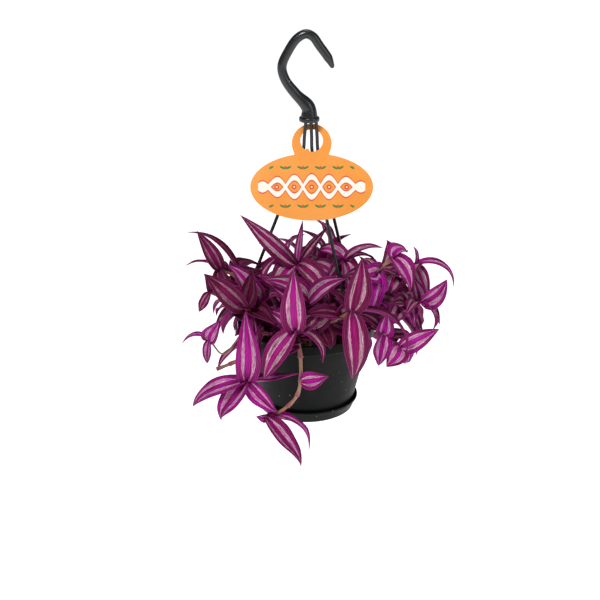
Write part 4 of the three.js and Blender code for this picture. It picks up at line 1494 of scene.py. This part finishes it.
@dataclass(frozen=True)
class FillingRule:
    """How the stems of the sides and back grow."""

    seed: int = 20
    root_foot: float = 60.0
    length: Pair = (38, 52)
    width: Pair = (18, 24)
    bow: Pair = (0.1, 0.18)
    forward: float = 0.62
    aside: float = 0.72
    lift: Pair = (-0.1, 0.42)
    straight: float = 16.0
    outward: float = 0.6
    upward: float = 0.9

    def grow(self, plan: FillingPlan, order: int) -> StemPlan:
        """Works out the route and the leaves of one stem.

        Args:
            plan: What sets the stem.
            order: The stem's number, which sets its draws.

        Returns:
            The stem's plan.
        """
        draws = Draws(self.seed + order)
        turn = math.radians(plan.bearing)
        out = Vector((math.cos(turn), math.sin(turn), 0))
        aside = Vector((-out.y, out.x, 0))

        def at(radius: float, height: float, sway: float) -> Triple:
            """Gives a point of the route."""
            point = out * radius + aside * sway
            return point.x, point.y, height

        room = plan.span - plan.root
        route = [at(plan.root, self.root_foot, 0), at(plan.root, self.root_foot + self.straight, 0)]
        for share, height, sway in (
            (0.3, 0.3 * self.root_foot + 0.7 * plan.rise, 3),
            (0.62, plan.rise, 5),
            (0.86, (plan.rise + plan.end) / 2, 6),
            (1.0, plan.end, 8),
        ):
            route.append(at(plan.root + room * share, height, draws.between(-sway, sway)))
        leaves = []
        for joint in range(2, len(route)):
            last = joint == len(route) - 1
            heading = (Vector(route[joint]) - Vector(route[joint - 1])).normalized()
            hands = (-1, 1, 0) if last else (-1, 1) if plan.pairs else (1,) if joint % 2 else (-1,)
            for hand in hands:
                length = draws.between(*self.length)
                lift = draws.between(*self.lift)
                reach = heading * (self.forward if hand else 1) + aside * hand * self.aside
                reach = (reach + Vector((0, 0, lift))).normalized() * length
                width = draws.between(*self.width)
                bow = draws.between(*self.bow)
                face = out * self.outward + Vector((0, 0, self.upward))
                leaves.append(LeafPlan(joint, tuple(reach), width, bow, tuple(face)))
        return StemPlan(plan.name, tuple(route), tuple(leaves))


@dataclass(frozen=True)
class Habit:
    """How a leaf departs from its coarse blade.

    The sway and the ruffle are in millimetres, the curl of the tip is a share of the length, the
    twist and the turn to the light are in radians, and the clasp and the steepest fold in degrees.
    Each power tells how slowly its effect sets in.
    """

    sway: float
    curl: float
    twist: float
    lopside: float
    waves: float
    start: float
    ruffle: float
    turn: float
    offset: float = 1.7
    tip: float = 0.6
    clasp: float = 30.0
    steepest: float = 62.0
    twist_power: float = 1.5
    turn_power: float = 0.8
    clasp_power: int = 4
    fold_power: float = 1.4
    opened: float = 0.9
    closing: float = 0.5

    @classmethod
    def drawn(cls, draws: Draws, width: float, turn: float) -> "Habit":
        """Draws the habit of a leaf of some width that turns to the light by some angle."""
        return cls(
            sway=draws.between(-0.14, 0.14) * width,
            curl=draws.between(0.0, 0.13),
            twist=draws.between(-0.6, 0.6),
            lopside=draws.between(-0.14, 0.14),
            waves=draws.between(1.2, 2.8),
            start=draws.between(0.0, 6.0),
            ruffle=draws.between(0.02, 0.07) * width,
            turn=turn,
        )


@dataclass(frozen=True)
class Outline:
    """A leaf's outline: how wide it starts, how it swells and tapers, and its law's greatest value."""

    start: float
    swell: float
    taper: float
    greatest: float

    def half(self, share: float) -> float:
        """Gives the half width at a share of the length, as a share of the greatest."""
        return (share + self.start) ** self.swell * max(1 - share, 0.0) ** self.taper / self.greatest


COARSE_OUTLINE = Outline(0.003, 0.55, 0.85, 0.394)
FINE_OUTLINE = Outline(0.006, 0.44, 0.98, 0.414)


@dataclass
class Blade:
    """One leaf as it grows: where it starts, where it points, and the form of its blade."""

    base: Vector
    reach: Vector
    width: float
    bow: float
    face: Vector
    fold: float
    thickness: float = 0.8

    @classmethod
    def bent(cls, plan: LeafPlan, base: Vector, bend: Triple) -> "Blade":
        """Turns and shortens a planned leaf.

        Args:
            plan: The leaf as planned.
            base: Where it starts.
            bend: Its swing and dip in degrees, and the share of its length that is kept.

        Returns:
            The leaf's blade.
        """
        swing, dip, share = bend
        flat = cls(base, Vector(plan.reach), plan.width, plan.bow, Vector(plan.face), plan.fold)
        _, normal, side = flat.axes()
        turn = Quaternion(normal, math.radians(swing)) @ Quaternion(side, math.radians(dip))
        width = plan.width * (0.4 + 0.6 * share)
        return cls(base, turn @ flat.reach * share, width, plan.bow, turn @ normal, plan.fold)

    def axes(self) -> tuple[Vector, Vector, Vector]:
        """Gives the directions along the leaf, up from its face and to its side."""
        along = self.reach.normalized()
        normal = (self.face - along * self.face.dot(along)).normalized()
        return along, normal, along.cross(normal)

    def spine(self, share: float) -> tuple[Vector, Vector, Vector]:
        """Gives the midrib's point at a share of the length, and the directions up and to its side."""
        along, normal, side = self.axes()
        length = self.reach.length
        lean = math.atan(4 * self.bow * (1 - 2 * share))
        rib = self.base + along * share * length + normal * 4 * self.bow * share * (1 - share) * length
        return rib, normal * math.cos(lean) - along * math.sin(lean), side

    def point(self, share: float, hand: float) -> tuple[Vector, Vector]:
        """Gives a point of the coarse blade's middle sheet and the upward direction there.

        Args:
            share: How far along the leaf, from 0 to 1.
            hand: How far across it, from -1 to 1.

        Returns:
            The point and the upward direction.
        """
        rib, up, side = self.spine(share)
        half = COARSE_OUTLINE.half(share) * self.width / 2
        fold = math.radians(self.fold)
        return rib + side * hand * half * math.cos(fold) + up * abs(hand) * half * math.sin(fold), up

    def living_point(self, share: float, hand: float, habit: Habit) -> Vector:
        """Gives a point of the fine blade: the coarse one with a rounder fold and the leaf's habit.

        Args:
            share: How far along the leaf, from 0 to 1.
            hand: How far across it, from -1 to 1.
            habit: How the leaf departs from the coarse blade.

        Returns:
            The point.
        """
        rib, upright, level = self.spine(share)
        twist = habit.twist * share ** habit.twist_power + habit.turn * share ** habit.turn_power
        side = level * math.cos(twist) + upright * math.sin(twist)
        up = upright * math.cos(twist) - level * math.sin(twist)
        tip = max(0.0, share - habit.tip) / (1 - habit.tip)
        middle = math.sin(math.pi * share)
        rib += side * habit.sway * middle - up * habit.curl * tip * tip * self.reach.length
        half = FINE_OUTLINE.half(share) * self.width / 2 * (1 + habit.lopside * hand)
        clasp = habit.clasp * (1 - share) ** habit.clasp_power
        closed = self.fold * (habit.opened + habit.closing * tip)
        fold = math.radians(min(closed + clasp, habit.steepest))
        offset = habit.offset if hand > 0 else 0
        wave = math.sin(share * habit.waves * 2 * math.pi + habit.start + offset)
        lift = abs(hand) ** habit.fold_power * half * math.sin(fold)
        lift += habit.ruffle * wave * hand * hand * middle
        return rib + side * hand * half * math.cos(fold) + up * lift

    def corners(self) -> list[Vector]:
        """Gives the corners of the coarse blade's upper face, past its root."""
        length = self.reach.length
        parts = 3 if length < 50 else 4 if length < 70 else 5
        found = []
        for row in range(1, parts + 1):
            for hand in (-1, 0, 1) if row < parts else (0,):
                spot, up = self.point(row / parts, hand)
                found.append(spot + up * self.thickness / 2)
        return found


@dataclass(frozen=True)
class TurnToLight:
    """How leaves turn their faces to the light: its direction, and the turns in radians."""

    light: Triple = (0.0, -0.75, 0.66)
    eager: float = 0.45
    most: float = 0.3
    facing: float = 2.0

    def turn(self, blade: Blade) -> float:
        """Gives a blade's turn: a share of the full one, or none where it faces well away."""
        light = Vector(self.light)
        _, normal, side = blade.axes()
        full = math.atan2(-light.dot(side), light.dot(normal))
        return max(-self.most, min(self.most, full * self.eager)) if abs(full) < self.facing else 0.0


@dataclass
class Plant:
    """All the leafy stems, dressed as fine leaves and jointed stalks, in millimetres.

    A stem's tone, and a leaf's, runs from 0 for dull and dark to 1 for lively; it is partly the
    leaves' own colour and partly painted shade and light. The breadth of a leaf's stripes is a
    drawn share of what two straight lines over the tone allow.
    """

    upper: Material
    under: Material
    skin: Material
    stem_radius: float = 1.9
    thin_radius: float = 1.0
    taper: float = 0.25
    slimmest: float = 0.92
    swelling: float = 0.42
    sheath_length: float = 7.0
    sheath_power: float = 0.7
    stalk_steps: int = 14
    stalk_sides: int = 10
    turning: TurnToLight = TurnToLight()
    tone_spread: float = 0.18
    breadth_share: Pair = (0.35, 1.0)
    breadth_rise: Pair = (0.2, 0.95)
    breadth_fall: Pair = (1.5, -1.25)
    blade_rows: int = 16
    blade_columns: int = 8
    blade_skin: float = 0.7
    match: float = 0.05
    matched: float = 0.4
    draws: Draws = field(default_factory=lambda: Draws(7))

    def plans(self) -> list[StemPlan]:
        """Gives every stem's plan, in the order that they grow in."""
        rule = FillingRule()
        return list(SHOWN_STEMS) + [rule.grow(plan, order) for order, plan in enumerate(FILLING_STEMS)]

    def settled(self, stem: StemPlan) -> list[Blade]:
        """Finds, for each planned leaf, the bend that its solid in the frame has.

        Args:
            stem: The stem's plan.

        Returns:
            The blades of the stem's solid.
        """
        tree = tree_of([vert.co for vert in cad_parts[stem.name].data.vertices])
        blades = []
        for plan in stem.leaves:
            base = Vector(stem.route[plan.joint])
            best, best_share = None, 0.0
            for bend in BENDS:
                blade = Blade.bent(plan, base, bend)
                corners = blade.corners()
                near = sum(tree.find(place(*spot))[2] < self.match * MM for spot in corners)
                if near / len(corners) > best_share:
                    best, best_share = blade, near / len(corners)
            if best is not None and best_share > self.matched:
                blades.append(best)
            else:
                log.info("%s: a leaf at joint %d was left off", stem.name, plan.joint)
        return blades

    def add_blade(self, bm: bmesh.types.BMesh, blade: Blade, tone: float) -> None:
        """Shapes one leaf from a grid.

        Args:
            bm: The mesh of the stem's leaves.
            blade: The leaf.
            tone: The leaf's own shade, from 0 to 1.
        """
        uv = bm.loops.layers.uv["blade"]
        shade = bm.verts.layers.float["tone"]
        stripes = bm.verts.layers.float["breadth"]
        habit = Habit.drawn(self.draws, blade.width, self.turning.turn(blade))
        allowed = min(low + by_tone * tone for low, by_tone in (self.breadth_rise, self.breadth_fall))
        breadth = self.draws.between(*self.breadth_share) * allowed
        made = bmesh.ops.create_grid(
            bm, x_segments=self.blade_columns, y_segments=self.blade_rows, size=0.5,
        )["verts"]
        spots = {vert: (vert.co.x * 2, vert.co.y + 0.5) for vert in made}
        for vert, (hand, along) in spots.items():
            vert.co = place(*blade.living_point(along, hand, habit))
            vert[shade] = tone
            vert[stripes] = breadth
        for face in {face for vert in made for face in vert.link_faces}:
            for loop in face.loops:
                hand, along = spots[loop.vert]
                loop[uv].uv = (hand / 2 + 0.5, along)

    def build_leaves(self, stem: StemPlan) -> bpy.types.Object:
        """Builds the leaves of a stem as one piece."""
        bm = self.new_leaves()
        for blade in self.settled(stem):
            tone = stem.tone + self.draws.between(-self.tone_spread, self.tone_spread)
            self.add_blade(bm, blade, min(max(tone, 0.0), 1.0))
        return self.finish_leaves(bm, stem.name.replace("stem", "leaves"), [stem.name])

    @staticmethod
    def new_leaves() -> bmesh.types.BMesh:
        """Starts a mesh for leaves, with the layers that their materials read."""
        bm = bmesh.new()
        bm.loops.layers.uv.new("blade")
        bm.verts.layers.float.new("tone")
        bm.verts.layers.float.new("breadth")
        return bm

    def finish_leaves(
        self,
        bm: bmesh.types.BMesh,
        name: str,
        nodes: Sequence[str] = (),
    ) -> bpy.types.Object:
        """Finishes a mesh of leaves and gives them their thickness.

        Args:
            bm: The leaves.
            name: The piece's name.
            nodes: The CAD nodes that the piece stands for.

        Returns:
            The piece.
        """
        piece = finish_piece(bm, name, Slot.LEAF, [self.upper, self.under], nodes, 80)
        skin = piece.modifiers.new("thickness", "SOLIDIFY")
        skin.thickness = self.blade_skin * MM
        skin.offset = 0.0
        skin.material_offset = 1
        skin.material_offset_rim = 1
        return piece

    def build_stalk(self, stem: StemPlan) -> bpy.types.Object:
        """Builds a stem's stalk, swollen at its joints, with its cut side shoot if it has one."""
        bm = bmesh.new()
        joint_mark = bm.verts.layers.float.new("joint")
        shade = bm.verts.layers.float.new("tone")
        thick = (self.thin_radius if stem.thin else self.stem_radius) * MM
        tone = self.draws.between(0, 1)
        for route in (stem.route, stem.stub):
            if not route:
                continue
            spans = len(route) - 1
            lengths = [(Vector(b) - Vector(a)).length for a, b in zip(route, route[1:])]

            def sheath(share: float) -> float:
                """Gives how far up the sheath below the next joint a place lies, from 0 to 1."""
                span = min(int(share * spans + 0.999), spans)
                below = (span - share * spans) * lengths[span - 1]
                return max(0.0, 1 - below / self.sheath_length) if span > 1 else 0.0

            def radius_at(share: float) -> float:
                """Gives the stalk's radius."""
                swollen = self.slimmest + self.swelling * sheath(share) ** self.sheath_power
                return thick * (1 - self.taper * share) * swollen

            def centre_at(share: float) -> Vector:
                """Gives the middle of the stalk."""
                return place(*smooth_route(route, share))

            steps = spans * self.stalk_steps
            for step, ring in enumerate(tube(bm, centre_at, radius_at, steps, self.stalk_sides)):
                for vert in ring:
                    vert[joint_mark] = sheath(step / steps)
                    vert[shade] = tone
        bmesh.ops.recalc_face_normals(bm, faces=bm.faces)
        name = stem.name.replace("stem", "stalk")
        return finish_piece(bm, name, Slot.STEM, [self.skin], [stem.name], 70)


@dataclass
class Thicket:
    """The young leaves that crowd the inside of the plant, each planned clear of its neighbours.

    They stay within the sides, the front and the top, and over the pot's brim. What shows below
    `low`, seen at the camera's slope, also stays right of `low_left`. Sizes are in millimetres.
    """

    plant: Plant
    length: Pair = (19.0, 34.0)
    slender: Pair = (0.46, 0.62)
    bow: Pair = (0.1, 0.2)
    climb: Pair = (-0.35, 0.9)
    pull: float = 0.35
    face: Triple = (0.5, -0.6, 0.9)
    fold: float = 30.0
    # Young leaves take this share of their stem's tone: painted shade, as they grow inside the plant.
    tone: Pair = (0.2, 0.8)
    per_span: tuple[float, ...] = (0.25, 0.5, 0.75, 1.0)
    tries: int = 60
    room: float = 2.2
    brim: float = 87.0
    brim_radius: float = 65.0
    root_depth: float = 4.0
    top: float = 150.0
    left: float = -88.0
    low: float = 107.0
    low_left: float = -60.0
    slope: float = 0.374
    right: float = 104.0
    front: float = -90.0
    shares: tuple[float, ...] = (0.24, 0.34, 0.45, 0.56, 0.67, 0.78, 0.89, 1.0)
    hands: tuple[float, ...] = (-1.0, -0.5, 0.0, 0.5, 1.0)

    def spots(self, blade: Blade) -> Iterator[Vector]:
        """Gives points all over a blade, one by one."""
        for share in self.shares:
            for hand in self.hands:
                yield blade.point(share, hand)[0]

    def clear(self, blade: Blade, trees: Sequence[KDTree]) -> bool:
        """Tells whether a blade stays within the bounds and has room round all its points."""
        for spot in self.spots(blade):
            left = self.left if spot.z + self.slope * spot.y > self.low else self.low_left
            if spot.z > self.top or spot.y < self.front or not left < spot.x < self.right:
                return False
            if spot.z < self.brim and math.hypot(spot.x, spot.y) < self.brim_radius:
                return False
            if any(tree.find(place(*spot))[2] < self.room * MM for tree in trees):
                return False
        return True

    def sprout(self, base: Vector, trees: Sequence[KDTree]) -> Blade | None:
        """Looks for a direction in which a young leaf has room.

        Args:
            base: Where the leaf starts.
            trees: The points of all that already grows or stands there.

        Returns:
            The leaf, or nothing where none fits.
        """
        draws = self.plant.draws
        sway, ahead, up = self.face
        for _ in range(self.tries):
            turn = draws.between(0, 2 * math.pi)
            reach = Vector((math.cos(turn), math.sin(turn) - self.pull, draws.between(*self.climb)))
            length = draws.between(*self.length)
            width = length * draws.between(*self.slender)
            bow = draws.between(*self.bow)
            face = Vector((draws.between(-sway, sway), ahead, up))
            blade = Blade(base, reach.normalized() * length, width, bow, face, self.fold)
            if self.clear(blade, trees):
                return blade
        return None

    def build(self, stems: Sequence[StemPlan], standing: Sequence[bpy.types.Object]) -> bpy.types.Object:
        """Grows young leaves along the stems, as one piece.

        Args:
            stems: The stems' plans.
            standing: The pieces that the leaves keep clear of.

        Returns:
            The young leaves.
        """
        grown = tree_of([vert.co for piece in standing for vert in piece.data.vertices])
        trees = [grown]
        bm = self.plant.new_leaves()
        young: list[Vector] = []
        for stem in stems:
            spans = len(stem.route) - 1
            for span in range(1, spans):
                for part in self.per_span:
                    base = smooth_route(stem.route, (span + part) / spans)
                    high = base.z > self.brim - self.root_depth
                    blade = self.sprout(base, trees) if high else None
                    if blade is None:
                        continue
                    # A share of the stem's tone darkens the young leaf: painted shade.
                    tone = stem.tone * self.plant.draws.between(*self.tone)
                    self.plant.add_blade(bm, blade, tone)
                    young += [place(*spot) for spot in self.spots(blade)]
                    trees = [grown, tree_of(young)]
        log.info("young leaves: %d", len(young) // (len(self.shares) * len(self.hands)))
        return self.plant.finish_leaves(bm, "leaves_young")


# ------------------------------------------------------------------------------ studio
@dataclass(frozen=True)
class Lamp:
    """A soft square light: its name, place and side in metres, and its power in watts."""

    name: str
    spot: Triple
    size: float
    power: float


@dataclass
class Studio:
    """The camera, the lights, the pale floor and the white surroundings."""

    camera_place: Triple = (-5.4, -1100.0, 513.0)
    pitch: float = 20.5
    lens: float = 78.78
    sensor: float = 36.0
    lamps: tuple[Lamp, ...] = (
        Lamp("key", (-0.6, -1.3, 1.3), 0.45, 27.0),
        Lamp("fill", (1.4, -1.2, 0.6), 1.0, 8.0),
        Lamp("top", (0.1, 0.3, 1.5), 1.0, 8.0),
    )
    aim: Triple = (0.0, 0.0, -0.2)
    floor_height: float = -0.62
    floor_radius: float = 40.0
    floor_glow: float = 0.9
    floor_tones: tuple[Colour, Colour] = (linear(246, 246, 246), linear(250, 250, 250))
    sky: float = 0.16

    def build_camera(self) -> None:
        """Sets the camera at the viewing angle, a little above the pot."""
        data = bpy.data.cameras.new("camera")
        data.lens = self.lens
        data.sensor_width = self.sensor
        camera = bpy.data.objects.new("camera", data)
        camera.location = place(*self.camera_place)
        camera.rotation_euler = (math.radians(90 - self.pitch), 0, 0)
        bpy.context.scene.collection.objects.link(camera)
        bpy.context.scene.camera = camera

    def add_lamp(self, lamp: Lamp) -> None:
        """Adds a lamp that looks at the part."""
        data = bpy.data.lights.new(lamp.name, "AREA")
        data.size = lamp.size
        data.energy = lamp.power
        light = bpy.data.objects.new(lamp.name, data)
        light.location = lamp.spot
        aim = Vector(self.aim) - Vector(lamp.spot)
        light.rotation_euler = aim.to_track_quat("-Z", "Y").to_euler()
        bpy.context.scene.collection.objects.link(light)

    def build_floor(self) -> None:
        """Lays the pale floor, which glows a little so that it stays white in all views."""
        bm = bmesh.new()
        bmesh.ops.create_circle(bm, cap_ends=True, radius=self.floor_radius, segments=64)
        bmesh.ops.translate(bm, vec=(0, 0, self.floor_height), verts=bm.verts)
        mesh = bpy.data.meshes.new("floor")
        bm.to_mesh(mesh)
        bm.free()
        floor = bpy.data.objects.new("floor", mesh)
        bpy.context.scene.collection.objects.link(floor)
        material, sheet, shader = new_material("pale_floor")
        cloud = sheet.noise(sheet.place_on_object(), 2.0)
        pale = sheet.mix(sheet.smooth(cloud, 0.2, 0.8), *self.floor_tones)
        sheet.feed(shader.inputs["Base Color"], pale)
        sheet.feed(shader.inputs["Emission Color"], pale)
        shader.inputs["Emission Strength"].default_value = self.floor_glow
        shader.inputs["Roughness"].default_value = 0.9
        shader.inputs["Specular IOR Level"].default_value = 0.1
        mesh.materials.append(material)
        floor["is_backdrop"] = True

    def build_world(self) -> None:
        """Makes the surroundings: plain white to the camera, and a soft light to everything else."""
        world = bpy.data.worlds.new("white_studio")
        world.use_nodes = True
        sheet = Sheet(world.node_tree)
        sky = world.node_tree.nodes["Background"]
        sky.inputs["Color"].default_value = (1, 1, 1, 1)
        sky.inputs["Strength"].default_value = self.sky
        paper = sheet.add("ShaderNodeBackground")
        paper.inputs["Color"].default_value = (1, 1, 1, 1)
        seen = sheet.add("ShaderNodeMixShader")
        sheet.feed(seen.inputs[0], sheet.add("ShaderNodeLightPath").outputs["Is Camera Ray"])
        sheet.feed(seen.inputs[1], sky.outputs[0])
        sheet.feed(seen.inputs[2], paper.outputs[0])
        sheet.feed(world.node_tree.nodes["World Output"].inputs["Surface"], seen.outputs[0])
        bpy.context.scene.world = world

    def build(self) -> None:
        """Builds the camera, the lights, the floor and the world."""
        self.build_camera()
        for lamp in self.lamps:
            self.add_lamp(lamp)
        self.build_floor()
        self.build_world()
        bpy.context.scene.view_settings.view_transform = "Standard"


def main() -> None:
    """Builds the studio and then every piece of the part."""
    logging.basicConfig(level=logging.INFO, format="%(name)s %(message)s")
    Studio().build()
    dust = Dust().build()
    marks = BladeMarks().build()
    pot_plastic = PlasticFinish("pot_plastic", linear(20, 22, 21)).material(dust)
    hanger_plastic = PlasticFinish(
        "hanger_plastic", linear(20, 22, 25), specks=0.004, film=0.05, roughness=(0.24, 0.38), shine=0.5,
    ).material(dust)
    pot = HangingPot(pot_plastic, SoilFinish().material(dust))
    pot.build_pot()
    pot.build_saucer()
    pot.build_soil()

    hanger = Hanger(hanger_plastic, pot)
    hanger.build_hook()
    standing = [hanger.build_strand(*strand) for strand in hanger.strands]
    CardTag().build(CardFinish().material())

    upper = LeafFinish().material(marks)
    plant = Plant(upper, LeafUndersideFinish().material(marks), StemFinish().material())
    stems = plant.plans()
    for stem in stems:
        standing.append(plant.build_leaves(stem))
        standing.append(plant.build_stalk(stem))
    Thicket(plant).build(stems, standing)

    boxes = {"cad": cad_box, "visual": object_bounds()}
    {name: [list(corner) for corner in box] for name, box in boxes.items()}


if __name__ == "__main__":
    main()
